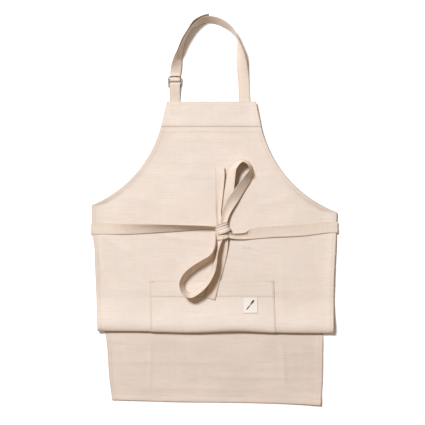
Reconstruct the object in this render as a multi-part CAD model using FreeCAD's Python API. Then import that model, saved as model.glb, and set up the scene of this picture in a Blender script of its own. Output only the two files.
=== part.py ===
import FreeCAD, Part
import math
import os

# An apron of unbleached cotton canvas, laid on its back with its front up and its lower skirt
# folded under in a Z. Millimetres. +Y runs towards the neck strap, +X to the right as it is seen
# from the front, +Z up. The origin is under the middle of the whole apron, on the table.

# Cloth, webbing and thread
CLOTH = 0.9
WEBBING = 1.4
WEBBING_WIDTH = 28.0
GAP = 0.1
THREAD_WIDTH = 0.6
THREAD_HEIGHT = 0.3

# Levels of the folded stack, each the underside of one layer of cloth
SKIRT_LEVEL = 0.0
POCKET_UNDER_LEVEL = SKIRT_LEVEL + CLOTH + GAP
HIDDEN_LEVEL = POCKET_UNDER_LEVEL + CLOTH + GAP
FRONT_LEVEL = 3.6
FRONT_TOP = FRONT_LEVEL + CLOTH
TRIM_LEVEL = FRONT_TOP + GAP
TRIM_TOP = TRIM_LEVEL + CLOTH
LABEL_LEVEL = TRIM_TOP + GAP
LABEL_CLOTH = 0.5

# The bib, the armholes and the sides of the skirt, from above
BIB_TOP = 286.5
BIB_TOP_LEFT = -126.5
BIB_TOP_RIGHT = 108.0
SEAM_Y = 222.0
LEFT_ARMHOLE = ((-141.0, SEAM_Y), (-206.0, 98.0), (-325.5, 12.0))
RIGHT_ARMHOLE = ((122.0, SEAM_Y), (181.0, 98.0), (323.0, -7.0))
LEFT_SIDE = ((-324.0, -64.0), (-317.0, -132.0))
RIGHT_SIDE = ((321.0, -66.0), (315.0, -178.0))

# The Z fold: the front fold crosses the skirt, and the hidden layer runs back up from it
FOLD_LEFT = (-309.0, -321.0)
FOLD_RIGHT = (313.0, -331.0)
HIDDEN_DEPTH = 60.0
HIDDEN_LEFT = -300.0
HIDDEN_RIGHT = 301.0
SKIRT_LEFT = (-290.0, -326.0)
SKIRT_RIGHT = (288.0, -336.0)
HEM_LEFT = (-272.0, -503.0)
HEM_RIGHT = (281.0, -514.5)
HEM_DEPTH = 16.0

# Where each waist tie turns round the side edge
TIE_LEFT = (-325.2, -50.0)
TIE_RIGHT = (322.4, -46.0)
TIE_BACK_LEVEL = 2.8

# Trim sewn to the front and the back
TAPE_WIDTH = 11.0
POCKET_LEFT = -173.0
POCKET_RIGHT = 156.0
POCKET_TOP = -187.0
POCKET_HEM = 42.0
POCKET_UNDER = 48.0
LABEL_LEFT = 75.0
LABEL_WIDTH = 38.0
LABEL_HEIGHT = 42.0
LABEL_TOP = POCKET_TOP - POCKET_HEM - 1.0
SEWN_LENGTH = 34.0

# Adjuster: two equal D rings held by their straight bars in the fold of a tab
STRAP_X = 79.0
TAB_X = -105.6
TAB_WIDTH = 27.5
RING_WIRE = 2.6
RING_INSIDE = 30.0
RING_REACH = 21.5
RING_SAGITTA = 1.5
FRONT_RING_BAR = (332.3, 5.9)
BACK_RING_BAR = (325.9, 2.6)
FRONT_RING_TIP_LEVEL = 7.9
BACK_RING_TIP_LEVEL = 3.9


def point(x, y, z=0.0):
    return FreeCAD.Vector(x, y, z)


def outline(points):
    """A closed wire of straight edges through plan points."""
    corners = [point(*p) for p in points]
    return Part.makePolygon(corners + corners[:1])


def slab(wire, low, high):
    """A flat solid over a plan outline between two levels."""
    face = Part.Face(wire)
    face.translate(point(0, 0, low))
    return face.extrude(point(0, 0, high - low))


def bar(start, end, low, high, width=THREAD_WIDTH):
    """A straight strip between two plan points."""
    along = (point(*end) - point(*start)).normalize()
    side = point(-along.y, along.x) * (width / 2)
    a, b = point(*start), point(*end)
    corners = [a - side, b - side, b + side, a + side]
    return slab(Part.makePolygon(corners + corners[:1]), low, high)


def arc_strip(three_points, inner, outer, low, high):
    """A strip that follows an armhole, between two distances in from its edge."""
    on_edge = [point(*p) for p in three_points]
    centre = Part.Arc(*on_edge).toShape().Curve.Center
    edges = []
    for distance in (inner, outer):
        moved = [p + (p - centre).normalize() * distance for p in on_edge]
        edges.append((Part.Arc(*moved).toShape(), moved[0], moved[-1]))
    (near, a, b), (far, c, d) = edges
    wire = Part.Wire([near, Part.makeLine(b, d), far, Part.makeLine(c, a)])
    return slab(wire, low, high)


def joined(shapes):
    """One solid from pieces of the same cloth."""
    whole = shapes[0].multiFuse(shapes[1:]).removeSplitter()
    return whole.Solids[0] if len(whole.Solids) == 1 else whole


def upper_outline():
    """The edge of the front layer, running on past the front fold."""
    left_arc = Part.Arc(*[point(*p) for p in LEFT_ARMHOLE]).toShape()
    right_arc = Part.Arc(*[point(*p) for p in RIGHT_ARMHOLE]).toShape()
    below = -30.0
    left_run = [point(*p) for p in (LEFT_ARMHOLE[-1], *LEFT_SIDE, FOLD_LEFT)]
    left_run.append(left_run[-1] + point(0, below))
    right_run = [point(*p) for p in (RIGHT_ARMHOLE[-1], *RIGHT_SIDE, FOLD_RIGHT)]
    right_run.append(right_run[-1] + point(0, below))
    bib = [point(*LEFT_ARMHOLE[0]), point(BIB_TOP_LEFT, BIB_TOP)]
    bib += [point(BIB_TOP_RIGHT, BIB_TOP), point(*RIGHT_ARMHOLE[0])]
    edges = list(Part.makePolygon(bib).Edges) + [right_arc]
    edges += Part.makePolygon(right_run).Edges
    edges.append(Part.makeLine(right_run[-1], left_run[-1]))
    edges += Part.makePolygon(left_run[::-1]).Edges
    edges.append(left_arc)
    return Part.Wire(Part.__sortEdges__(edges))


def fold_frame(shape):
    """Turns a shape built along a fold at Y 0 onto the slightly skewed front fold."""
    rise = FOLD_RIGHT[1] - FOLD_LEFT[1]
    run = FOLD_RIGHT[0] - FOLD_LEFT[0]
    shape.rotate(point(0, 0), point(0, 0, 1), math.degrees(math.atan2(rise, run)))
    shape.translate(point((FOLD_LEFT[0] + FOLD_RIGHT[0]) / 2, (FOLD_LEFT[1] + FOLD_RIGHT[1]) / 2))
    return shape


def half_ring(y, level, inner, outer, towards):
    """The round of a fold in cross-section: a half ring that bulges towards -Y or +Y."""
    half = 400.0
    low, high = point(-half, y, level - outer), point(-half, y, level + outer)
    low_in, high_in = point(-half, y, level - inner), point(-half, y, level + inner)
    mid, mid_in = point(-half, y + towards * outer, level), point(-half, y + towards * inner, level)
    edges = [Part.Arc(low, mid, high).toShape(), Part.makeLine(high, high_in)]
    edges += [Part.Arc(high_in, mid_in, low_in).toShape(), Part.makeLine(low_in, low)]
    return Part.Face(Part.Wire(edges)).extrude(point(2 * half, 0))


def layer(near, far, level, thickness=CLOTH):
    """A flat stretch of the folded stack, between two distances from the front fold."""
    half = 400.0
    return Part.makeBox(2 * half, far - near, thickness, point(-half, near, level))


def body_panel():
    """Front layer, front fold, hidden layer, rear fold and lower skirt, in one piece of canvas."""
    outer = (FRONT_TOP - HIDDEN_LEVEL) / 2
    fold_y = outer
    rear_outer = (HIDDEN_LEVEL + CLOTH - SKIRT_LEVEL) / 2
    rear_y = HIDDEN_DEPTH - rear_outer
    front = layer(fold_y, 700.0, FRONT_LEVEL)
    front_fold = half_ring(fold_y, HIDDEN_LEVEL + outer, outer - CLOTH, outer, -1)
    hidden = layer(fold_y, rear_y, HIDDEN_LEVEL)
    rear_fold = half_ring(rear_y, SKIRT_LEVEL + rear_outer, rear_outer - CLOTH, rear_outer, 1)
    skirt = layer(-260.0, rear_y, SKIRT_LEVEL)
    stack = fold_frame(joined([front, front_fold, hidden, rear_fold, skirt]))
    split = HIDDEN_LEVEL + outer
    rear_split = SKIRT_LEVEL + rear_outer
    upper = slab(upper_outline(), split, FRONT_TOP + 1)
    rear_line = FOLD_LEFT[1] + HIDDEN_DEPTH + 5.0
    hidden_outline = outline([(FOLD_LEFT[0], FOLD_LEFT[1] - 30), FOLD_LEFT, (HIDDEN_LEFT, rear_line),
                              (HIDDEN_RIGHT, rear_line), FOLD_RIGHT, (FOLD_RIGHT[0], FOLD_RIGHT[1] - 30)])
    middle = slab(hidden_outline, rear_split, split)
    skirt_outline = outline([(HIDDEN_LEFT, rear_line), SKIRT_LEFT, HEM_LEFT, HEM_RIGHT, SKIRT_RIGHT,
                             (HIDDEN_RIGHT, rear_line)])
    lower = slab(skirt_outline, SKIRT_LEVEL - 1, rear_split)
    return joined([stack.common(upper), stack.common(middle), stack.common(lower)])


def pocket():
    """Patch pocket: it lies on the front and follows the canvas round the front fold."""
    body_outer = (FRONT_TOP - HIDDEN_LEVEL) / 2
    inner = body_outer + GAP
    level = HIDDEN_LEVEL + body_outer
    shapes = [layer(body_outer, 200.0, TRIM_LEVEL), half_ring(body_outer, level, inner, inner + CLOTH, -1)]
    shapes.append(layer(body_outer, POCKET_UNDER, POCKET_UNDER_LEVEL))
    stack = fold_frame(joined(shapes))
    edge = outline([(POCKET_LEFT, POCKET_TOP), (POCKET_RIGHT, POCKET_TOP),
                    (POCKET_RIGHT + 6, -345.0), (POCKET_LEFT + 4, -345.0)])
    return stack.common(slab(edge, 0, TRIM_TOP + 1))


def bib_facing():
    """The doubled band across the top of the bib."""
    corners = [(LEFT_ARMHOLE[0][0] + 0.5, SEAM_Y), (BIB_TOP_LEFT + 0.5, BIB_TOP - 0.5),
               (BIB_TOP_RIGHT - 0.5, BIB_TOP - 0.5), (RIGHT_ARMHOLE[0][0] - 0.5, SEAM_Y)]
    return slab(outline(corners), TRIM_LEVEL, TRIM_TOP)


def woven_label():
    """The small woven patch below the pocket's hem."""
    middle = LABEL_LEFT + LABEL_WIDTH / 2
    top, bottom = (middle, LABEL_TOP), (middle, LABEL_TOP - LABEL_HEIGHT)
    return bar(top, bottom, LABEL_LEVEL, LABEL_LEVEL + LABEL_CLOTH, LABEL_WIDTH)


def ring_outline(inside, reach, sagitta):
    """A D in plan: straight bar on the X axis, two short legs and a shallow arc at the far end."""
    half = inside / 2
    leg = reach * 0.55
    legs = [point(-half, 0), point(half, 0), point(half, leg)]
    shoulder = point(half * 0.86, reach - sagitta)
    left_shoulder = point(-shoulder.x, shoulder.y)
    left_leg = point(-half, leg)
    bend = point(half * 0.985, (leg + shoulder.y) / 2 + 0.4)
    left_bend = point(-bend.x, bend.y)
    edges = list(Part.makePolygon(legs).Edges)
    edges.append(Part.Arc(legs[2], bend, shoulder).toShape())
    edges.append(Part.Arc(shoulder, point(0, reach), left_shoulder).toShape())
    edges.append(Part.Arc(left_shoulder, left_bend, left_leg).toShape())
    edges.append(Part.makeLine(left_leg, legs[0]))
    return edges


def d_ring(hinge, tip_level):
    """Bent wire, welded into a D, lying in the tab with its tip at the given level."""
    outline_edges = ring_outline(RING_INSIDE + RING_WIRE, RING_REACH, RING_SAGITTA)
    path = Part.Wire(Part.__sortEdges__(outline_edges))
    ring = None
    radius = RING_WIRE / 2
    for edge in path.Edges:
        a = edge.valueAt(edge.FirstParameter)
        direction = edge.tangentAt(edge.FirstParameter)
        section = Part.Face(Part.Wire(Part.makeCircle(radius, a, direction)))
        if edge.Curve.TypeId == "Part::GeomLine":
            piece = section.extrude(edge.valueAt(edge.LastParameter) - a)
        else:
            arc = edge.Curve
            sweep = math.degrees(edge.LastParameter - edge.FirstParameter)
            piece = section.revolve(arc.Center, arc.Axis, sweep)
        ring = piece if ring is None else ring.fuse(piece)
        ring = ring.fuse(Part.makeSphere(radius, a))
    ring = ring.removeSplitter()
    tilt = math.degrees(math.asin((tip_level - hinge[1]) / RING_REACH))
    ring.rotate(point(0, 0), point(1, 0), tilt)
    ring.translate(point(TAB_X, hinge[0], hinge[1]))
    return ring


def ribbon(stations, thickness=WEBBING):
    """A flat band through hand-set stations: x, y, z, bearing and lean of its width, and width.

    The bearing turns about Z from +X, and the lean lifts that edge above the level.
    """
    centres = [point(*s[:3]) for s in stations]
    rings = []
    for i, (x, y, z, bearing, lean, width) in enumerate(stations):
        before, after = centres[max(i - 1, 0)], centres[min(i + 1, len(centres) - 1)]
        along = (after - before).normalize()
        turn, tip = math.radians(bearing), math.radians(lean)
        across = point(math.cos(turn) * math.cos(tip), math.sin(turn) * math.cos(tip), math.sin(tip))
        across = (across - along * across.dot(along)).normalize()
        normal = along.cross(across)
        side, up = across * (width / 2), normal * (thickness / 2)
        c = centres[i]
        rings.append((c - side - up, c + side - up, c + side + up, c - side + up))
    faces = []
    for one, two in zip(rings, rings[1:]):
        for k in range(4):
            a, b, c, d = one[k], one[(k + 1) % 4], two[(k + 1) % 4], two[k]
            faces.append(Part.Face(Part.makePolygon([a, b, c, a])))
            faces.append(Part.Face(Part.makePolygon([a, c, d, a])))
    for end in (rings[0], rings[-1]):
        faces.append(Part.Face(Part.makePolygon([end[0], end[1], end[2], end[0]])))
        faces.append(Part.Face(Part.makePolygon([end[0], end[2], end[3], end[0]])))
    return Part.makeSolid(Part.Shell(faces))


def smooth(stations, steps=3):
    """Stations on a smooth curve through the given ones, so that long bends aren't faceted."""
    result = []
    last = len(stations) - 1
    for i in range(last):
        p = [stations[max(i - 1, 0)], stations[i], stations[i + 1], stations[min(i + 2, last)]]
        for k in range(steps):
            t = k / steps
            row = []
            for a, b, c, d in zip(*p):
                cubic = 3 * (b - c) + d - a
                square = 2 * a - 5 * b + 4 * c - d
                row.append(b + 0.5 * t * (c - a + t * (square + t * cubic)))
            result.append(tuple(row))
    result.append(stations[-1])
    return result


def edge_turn(x, y, bearing, towards):
    """A tie's half turn round the side edge of the skirt, from its back to its front."""
    level = (FRONT_LEVEL + FRONT_TOP) / 2
    radius = CLOTH / 2 + GAP + WEBBING / 2
    rows = []
    for step in range(5):
        angle = math.radians(-90 + 45 * step)
        dx = towards * radius * math.cos(angle)
        rows.append((x + dx, y, level + radius * math.sin(angle), bearing, 0, WEBBING_WIDTH))
    return rows


NECK_RUN = [
    (79, 250, 2.7, 0, 0, 29), (79, 284, 2.7, 0, 0, 29), (78.5, 304, 1.2, 0, 0, 29),
    (76.5, 344, 1.8, 2, 3, 29), (73, 374, 5.0, 4, 14, 29), (69.5, 400, 9.0, 7, 32, 29),
    (66, 424, 13.1, 12, 58, 28.5), (60.5, 450, 14.8, 20, 84, 28), (46, 474, 14.4, 42, 72, 28),
    (25, 490, 13.4, 56, 62, 28), (2, 500, 13.2, 70, 58, 28), (-24, 502, 13.4, 88, 60, 28),
    (-46, 491, 14.2, 116, 70, 28), (-66, 473, 14.8, 146, 82, 28), (-79, 447, 14.8, 166, 80, 28),
    (-87, 420, 12.2, 176, 50, 28), (-96, 394, 5.8, 180, 16, 28), (-101, 374, 1.7, 180, 0, 28),
    (-104, 358, 1.1, 180, 0, 27), (-105, 347, 1.0, 180, 0, 26),
]
NECK_FOLD = [
    (-105, 343.6, 1.3, 180, 0, 26), (-105, 342.6, 3.0, 180, 0, 26), (-105, 343.2, 5.0, 180, 0, 26),
    (-105, 344.8, 6.4, 180, 0, 26), (-105, 346.9, 6.7, 180, 0, 26), (-105, 349.3, 5.9, 180, 0, 26),
    (-105, 351.6, 4.7, 180, 0, 26), (-105, 354.2, 4.1, 180, 0, 26), (-104.5, 357.5, 3.9, 180, 0, 26),
]
NECK_TAIL = [
    (-104, 363.0, 3.9, 180, 0, 27), (-101.5, 378, 4.9, 180, 2, 28), (-98, 398, 9.4, 180, 20, 28),
    (-90.5, 422, 13.9, 176, 55, 28), (-82.6, 449, 15.2, 164, 80, 28), (-69, 475.5, 15.2, 146, 82, 28),
    (-55, 496, 15.0, 124, 80, 28), (-34, 507.5, 15.0, 112, 76, 28), (-15, 512.5, 14.8, 104, 74, 28),
]
LEFT_RUN = [
    (-300, -50.0, 5.4, 90, 0, 28), (-262, -50.5, 5.8, 90, 1, 27), (-231, -50.5, 6.8, 90, 5, 26),
    (-190, -49.5, 9.0, 90, 15, 24), (-146, -48, 11.3, 90, 30, 21), (-95, -48, 12.8, 90, 42, 19),
    (-45, -47, 13.5, 90, 48, 17), (-8, -48, 13, 90, 30, 15), (8, -52, 12, 90, 8, 14),
]
LOWER_LOOP = [
    (9, -58, 10.4, 0, -6, 13), (4.5, -82, 13.0, -10, -58, 18), (-2, -105, 16.4, -25, -76, 23),
    (-12, -123, 17.8, -48, -70, 26), (-32, -137.5, 18.6, -56, -64, 28), (-56, -153, 18.8, -54, -62, 28),
    (-76, -170.5, 18.8, -42, -62, 28), (-87, -193, 19.2, 0, -62, 28), (-82, -214, 19.4, 40, -64, 28),
    (-67, -225.5, 19.5, 88, -66, 28), (-50, -220, 19.6, 122, -68, 28), (-23.5, -197.5, 19.6, 140, -70, 28),
    (-5, -166, 19.0, 162, -70, 28), (3, -140, 18.4, 175, -74, 26), (7, -116, 17.4, 178, -76, 23),
    (12, -94, 17, 174, -66, 19), (16, -70, 15.5, 179, -14, 15),
]
UPPER_TAIL = [
    (15, -72, 12.5, 180, 0, 14), (12, -34, 11, 180, -4, 13), (10, -6, 7.8, 180, -8, 15),
    (11.5, 24, 7.4, 180, -10, 18), (13.3, 60, 8.1, 180, -12, 22), (14.5, 90, 8.7, 181, -14, 24.5),
    (13, 112, 8.0, 182, -10, 24),
]
RIGHT_RUN = [
    (300, -46.5, 5.35, -90, 0, 28), (268, -50, 5.4, -90, 0, 29), (239, -53.5, 5.6, -90, 0, 29),
    (196, -56, 5.6, -90, 0, 29), (154, -58, 5.7, -90, 0, 28), (112, -63, 6.2, -90, 0, 27),
    (80, -66, 8.0, -90, -4, 24), (52, -66.5, 11, -90, -8, 18), (26, -62, 12.5, -90, 0, 16),
]
UPPER_LOOP = [
    (20, -46, 9.5, -180, 180, 14), (22, -30, 8.0, -180, 178, 17), (27, -4, 7.2, -181, 177, 22),
    (31, 14, 7.4, -182, 175, 25), (34, 30, 8.4, -183, 171, 27), (37.5, 48, 11.2, -184, 159, 28),
    (40.5, 72, 13.8, -186, 149, 28), (44, 93, 15.2, -190, 141, 28), (52, 114, 18.4, -212, 121, 28),
    (72, 130, 19.6, -268, 106, 28), (90, 121, 19.8, -320, 106, 28), (95.5, 104, 19.2, -362, 113, 28),
    (85, 81, 16.4, -392, 138, 28), (72, 62, 15.0, -394, 147, 28), (58.5, 42, 14.2, -394, 153, 28),
    (48, 26, 13.0, -392, 165, 27), (38, 9, 11.8, -384, 174, 24), (29, -12, 12.0, -372, 178, 20),
    (23, -38, 14.5, -362, 180, 16),
]
LOWER_TAIL = [
    (25, -68, 11.5, 0, 0, 17), (23.5, -88, 8.6, 2, 0, 24), (17.5, -122, 6.6, 8, 0, 27),
    (9, -155, 6.4, 12, 0, 28), (-1, -188, 6.9, 14, 0, 28), (-13.5, -234.5, 6.9, 12, 0, 28),
]
KNOT_CENTRE = (19.5, -56.0)
KNOT_SIZE = (36.0, 47.0)
KNOT_LOW = 5.0
KNOT_HIGH = 21.0


def knot(inset):
    """The pulled-tight lump of a tie's turns, drawn in by the inset on all sides."""
    half_x, half_y = KNOT_SIZE[0] / 2 - inset, KNOT_SIZE[1] / 2 - inset
    cut = 7.0
    cx, cy = KNOT_CENTRE
    corners = []
    for sx, sy, first in ((1, 1, 0), (-1, 1, 1), (-1, -1, 0), (1, -1, 1)):
        pair = [(cx + sx * half_x, cy + sy * (half_y - cut)), (cx + sx * (half_x - cut), cy + sy * half_y)]
        corners += pair[::-1] if first else pair
    lump = slab(outline(corners), KNOT_LOW + inset, KNOT_HIGH - inset)
    tops = [e for e in lump.Edges if abs(e.BoundBox.ZMin - (KNOT_HIGH - inset)) < 0.01
            and abs(e.BoundBox.ZMax - (KNOT_HIGH - inset)) < 0.01]
    return lump.makeChamfer(3.0, tops)


def waist_tie_left():
    """The left tie: its run to the knot, the lower loop and the upper tail."""
    sewn_end = [(TIE_LEFT[0] + SEWN_LENGTH, TIE_LEFT[1], TIE_BACK_LEVEL, 90, 0, WEBBING_WIDTH)]
    run = ribbon(sewn_end + edge_turn(*TIE_LEFT, 90, -1) + smooth(LEFT_RUN, 2))
    pieces = [run, ribbon(smooth(LOWER_LOOP)), ribbon(smooth(UPPER_TAIL, 2)), knot(2.2)]
    return joined(pieces)


def waist_tie_right():
    """The right tie: its run to the knot, the upper loop, the lower tail and the knot's lump."""
    sewn_end = [(TIE_RIGHT[0] - SEWN_LENGTH, TIE_RIGHT[1], TIE_BACK_LEVEL, -90, 0, WEBBING_WIDTH)]
    run = ribbon(sewn_end + edge_turn(*TIE_RIGHT, -90, 1) + smooth(RIGHT_RUN, 2))
    pieces = [run, ribbon(smooth(UPPER_LOOP, 2)), ribbon(smooth(LOWER_TAIL, 2)), knot(0)]
    return joined(pieces)


def neck_strap():
    """Sewn behind the bib on the right, over the neck, through both rings and back as a tail."""
    sewn_end, run = NECK_RUN[:1], NECK_RUN[1:]
    return ribbon(sewn_end + smooth(run) + NECK_FOLD + smooth(NECK_TAIL))


def ring_tab():
    """A doubled band whose fold holds the straight bars of both rings."""
    start, turn_y = 252.0, 335.5
    low, high = 0.6, 7.9
    half, middle = (high - low) / 2, (high + low) / 2
    outer = []
    for step in range(13):
        angle = math.radians(-90 + 15 * step)
        outer.append((turn_y - half + math.cos(angle) * half, middle + math.sin(angle) * half))
    path = [(start, 1.0)] + outer + [(304.0, 4.6), (288.0, 2.95), (start, 2.95)]
    rows = [(TAB_X, y, z, 180, 0, TAB_WIDTH) for y, z in path]
    return ribbon(rows, CLOTH)


def crossed_box(centre, size, low, high):
    """A sewn square with a cross in it."""
    cx, cy = centre
    w, h = size[0] / 2, size[1] / 2
    corners = [(cx - w, cy - h), (cx + w, cy - h), (cx + w, cy + h), (cx - w, cy + h)]
    strips = [bar(corners[i], corners[(i + 1) % 4], low, high) for i in range(4)]
    strips += [bar(corners[0], corners[2], low, high), bar(corners[1], corners[3], low, high)]
    return joined(strips)


def bib_stitching():
    """Rows of top stitching: under the top edge, above the seam and below it."""
    inset = 3.0
    rows = []
    for y in (BIB_TOP - 10.0, SEAM_Y + 4.0):
        share = (BIB_TOP - y) / (BIB_TOP - SEAM_Y)
        left = BIB_TOP_LEFT + share * (LEFT_ARMHOLE[0][0] - BIB_TOP_LEFT) + inset
        right = BIB_TOP_RIGHT + share * (RIGHT_ARMHOLE[0][0] - BIB_TOP_RIGHT) - inset
        rows.append(bar((left, y), (right, y), TRIM_TOP, TRIM_TOP + THREAD_HEIGHT))
    y = SEAM_Y - 15.0
    left, right = LEFT_ARMHOLE[0][0] + inset - 5.0, RIGHT_ARMHOLE[0][0] - inset + 5.0
    rows.append(bar((left, y), (right, y), FRONT_TOP, FRONT_TOP + THREAD_HEIGHT))
    return Part.makeCompound(rows)


def armhole_stitching():
    """One row beside each armhole, stopping where the bib's rows begin."""
    strips = [arc_strip(hole, 8.0, 8.0 + THREAD_WIDTH, FRONT_TOP, FRONT_TOP + THREAD_HEIGHT)
              for hole in (LEFT_ARMHOLE, RIGHT_ARMHOLE)]
    bib = slab(outline([(-160, SEAM_Y), (160, SEAM_Y), (160, SEAM_Y - 16.5), (-160, SEAM_Y - 16.5)]), 0, 9)
    return Part.makeCompound([s.cut(bib) for s in strips])


def side_stitching():
    """One row beside each side edge of the front layer, from below the tie to the fold."""
    inset = 9.0
    rows = []
    for side, sign, fold in ((LEFT_SIDE, 1, FOLD_LEFT), (RIGHT_SIDE, -1, FOLD_RIGHT)):
        a = (side[0][0] + sign * inset, side[0][1] - 4)
        b = (side[1][0] + sign * inset, side[1][1])
        c = (fold[0] + sign * inset, fold[1] + 4)
        low, high = FRONT_TOP, FRONT_TOP + THREAD_HEIGHT
        rows.append(joined([bar(a, b, low, high), bar(b, c, low, high)]))
    return Part.makeCompound(rows)


def bottom_hem_stitching():
    """One row along the turned hem at the foot of the skirt."""
    left = (HEM_LEFT[0] + 2.5, HEM_LEFT[1] + HEM_DEPTH)
    right = (HEM_RIGHT[0] - 2.5, HEM_RIGHT[1] + HEM_DEPTH)
    return bar(left, right, CLOTH, CLOTH + THREAD_HEIGHT)


def pocket_stitching():
    """Two sides of the patch and the hem of its mouth."""
    inset = 3.0
    low, high = TRIM_TOP, TRIM_TOP + THREAD_HEIGHT
    left = [(POCKET_LEFT + inset, POCKET_TOP - 2), (POCKET_LEFT + inset + 3, -318.0)]
    right = [(POCKET_RIGHT - inset, POCKET_TOP - 2), (POCKET_RIGHT - inset + 5, -322.0)]
    hem_y = POCKET_TOP - POCKET_HEM + 1.0
    hem = bar((POCKET_LEFT + 6, hem_y), (POCKET_RIGHT - 6, hem_y), low, high)
    return Part.makeCompound([bar(*left, low, high), bar(*right, low, high), hem])


def pocket_bartacks():
    """Short dense rows that lock the two ends of the pocket's mouth."""
    tacks = []
    for x in (POCKET_LEFT + 8, POCKET_RIGHT - 8):
        tacks.append(bar((x - 3.5, POCKET_TOP - 3), (x + 3.5, POCKET_TOP - 3), TRIM_TOP, TRIM_TOP + 0.4, 2.0))
    return Part.makeCompound(tacks)


def label_stitching():
    """The rows that hold the label at its head and foot."""
    low = LABEL_LEVEL + LABEL_CLOTH
    rows = []
    for y in (LABEL_TOP - 2, LABEL_TOP - LABEL_HEIGHT + 2):
        rows.append(bar((LABEL_LEFT + 2, y), (LABEL_LEFT + LABEL_WIDTH - 2, y), low, low + THREAD_HEIGHT))
    return Part.makeCompound(rows)


def strap_stitching():
    """The crossed boxes that hold the neck strap and the ring tab, on the front of the bib."""
    size = (20, 22)
    low, high = TRIM_TOP, TRIM_TOP + THREAD_HEIGHT
    return Part.makeCompound([crossed_box((x, BIB_TOP - 24), size, low, high) for x in (STRAP_X, TAB_X)])


def tie_stitching():
    """The crossed boxes that hold the waist ties, on the back beside each side edge."""
    inset = 20.0
    high = TIE_BACK_LEVEL - WEBBING / 2
    low = high - THREAD_HEIGHT
    centres = ((TIE_LEFT[0] + inset, TIE_LEFT[1]), (TIE_RIGHT[0] - inset, TIE_RIGHT[1]))
    return Part.makeCompound([crossed_box(centre, (22, 20), low, high) for centre in centres])


def armhole_tape(three_points):
    """A narrow binding along an armhole, on the back of the cloth."""
    return arc_strip(three_points, 0.3, TAPE_WIDTH, FRONT_LEVEL - GAP - CLOTH, FRONT_LEVEL - GAP)


NODES = {
    "body_panel": body_panel,
    "bib_facing": bib_facing,
    "armhole_tape_left": lambda: armhole_tape(LEFT_ARMHOLE),
    "armhole_tape_right": lambda: armhole_tape(RIGHT_ARMHOLE),
    "pocket": pocket,
    "woven_label": woven_label,
    "neck_strap": neck_strap,
    "ring_tab": ring_tab,
    "d_ring_front": lambda: d_ring(FRONT_RING_BAR, FRONT_RING_TIP_LEVEL),
    "d_ring_back": lambda: d_ring(BACK_RING_BAR, BACK_RING_TIP_LEVEL),
    "waist_tie_left": waist_tie_left,
    "waist_tie_right": waist_tie_right,
    "bib_stitching": bib_stitching,
    "armhole_stitching": armhole_stitching,
    "side_stitching": side_stitching,
    "bottom_hem_stitching": bottom_hem_stitching,
    "pocket_stitching": pocket_stitching,
    "pocket_bartacks": pocket_bartacks,
    "label_stitching": label_stitching,
    "strap_stitching": strap_stitching,
    "tie_stitching": tie_stitching,
}

shapes = {name: make() for name, make in NODES.items()}
box = Part.makeCompound(list(shapes.values())).BoundBox
to_centre = point(-box.Center.x, -box.Center.y, -box.ZMin)
print("box", box, "moved by", to_centre)

os.makedirs("parts", exist_ok=True)
for name, shape in shapes.items():
    shape.translate(to_centre)
    shape.exportStep("parts/" + name + ".step")
    state = "valid" if shape.isValid() else "INVALID"
    print(name, len(shape.Solids), "solids", round(shape.Volume), "mm3", state)
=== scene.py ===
import math

import bpy
import numpy as np
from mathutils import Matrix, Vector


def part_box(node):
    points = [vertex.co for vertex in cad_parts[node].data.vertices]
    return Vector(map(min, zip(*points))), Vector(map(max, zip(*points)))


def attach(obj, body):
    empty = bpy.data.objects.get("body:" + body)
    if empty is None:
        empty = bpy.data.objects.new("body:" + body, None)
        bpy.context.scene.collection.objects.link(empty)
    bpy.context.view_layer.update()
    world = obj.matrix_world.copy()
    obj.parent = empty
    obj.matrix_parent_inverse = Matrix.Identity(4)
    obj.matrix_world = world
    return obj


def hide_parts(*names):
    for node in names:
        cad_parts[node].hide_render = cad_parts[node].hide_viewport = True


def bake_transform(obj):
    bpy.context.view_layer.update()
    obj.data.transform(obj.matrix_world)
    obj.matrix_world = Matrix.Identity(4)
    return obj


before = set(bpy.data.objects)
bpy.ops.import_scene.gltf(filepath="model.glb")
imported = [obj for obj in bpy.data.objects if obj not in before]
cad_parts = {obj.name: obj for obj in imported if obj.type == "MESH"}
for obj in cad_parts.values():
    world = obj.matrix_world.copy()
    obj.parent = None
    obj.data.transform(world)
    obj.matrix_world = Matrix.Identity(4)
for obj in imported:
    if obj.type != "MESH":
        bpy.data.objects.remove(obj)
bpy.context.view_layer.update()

# A cotton canvas bib apron laid on its back, skirt folded under in a Z, ties in a bow at the front.
# The shapes below are worked out in millimetres in the plan that part.py draws, and DESIGN moves
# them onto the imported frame, in metres.
MM = 0.001
PANEL_LOW = np.array(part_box("body_panel")[0]) / MM
BIB_TOP, SEAM_Y = 286.5, 222.0
HEM_NOMINAL = -508.7
DESIGN = PANEL_LOW - np.array((-325.5, -514.5, 0.0))

# Plan of the bib, armholes, sides and skirt, as in part.py
BIB_TOP_LEFT, BIB_TOP_RIGHT = -126.5, 108.0
LEFT_ARMHOLE = ((-141.0, SEAM_Y), (-206.0, 98.0), (-325.5, 12.0))
RIGHT_ARMHOLE = ((122.0, SEAM_Y), (181.0, 98.0), (323.0, -7.0))
LEFT_SIDE = ((-324.0, -64.0), (-317.0, -132.0), (-309.0, -321.0))
RIGHT_SIDE = ((321.0, -66.0), (315.0, -178.0), (313.0, -331.0))
FOLD_Y, FOLD_SKEW, FOLD_MID_X = -322.5, -0.009, 2.0
HIDDEN_DEPTH = 60.0
POCKET_LEFT, POCKET_RIGHT, POCKET_TOP, POCKET_HEM = -173.0, 156.0, -187.0, 42.0
LABEL = (75.0, 38.0, -230.0, 42.0)

# The pocket from its mouth to the front fold, and how far its sides drift right over a run of it
POCKET_DEPTH = 139.0
LEFT_DRIFT, RIGHT_DRIFT, DRIFT_RUN = 4, 5, 140
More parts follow.
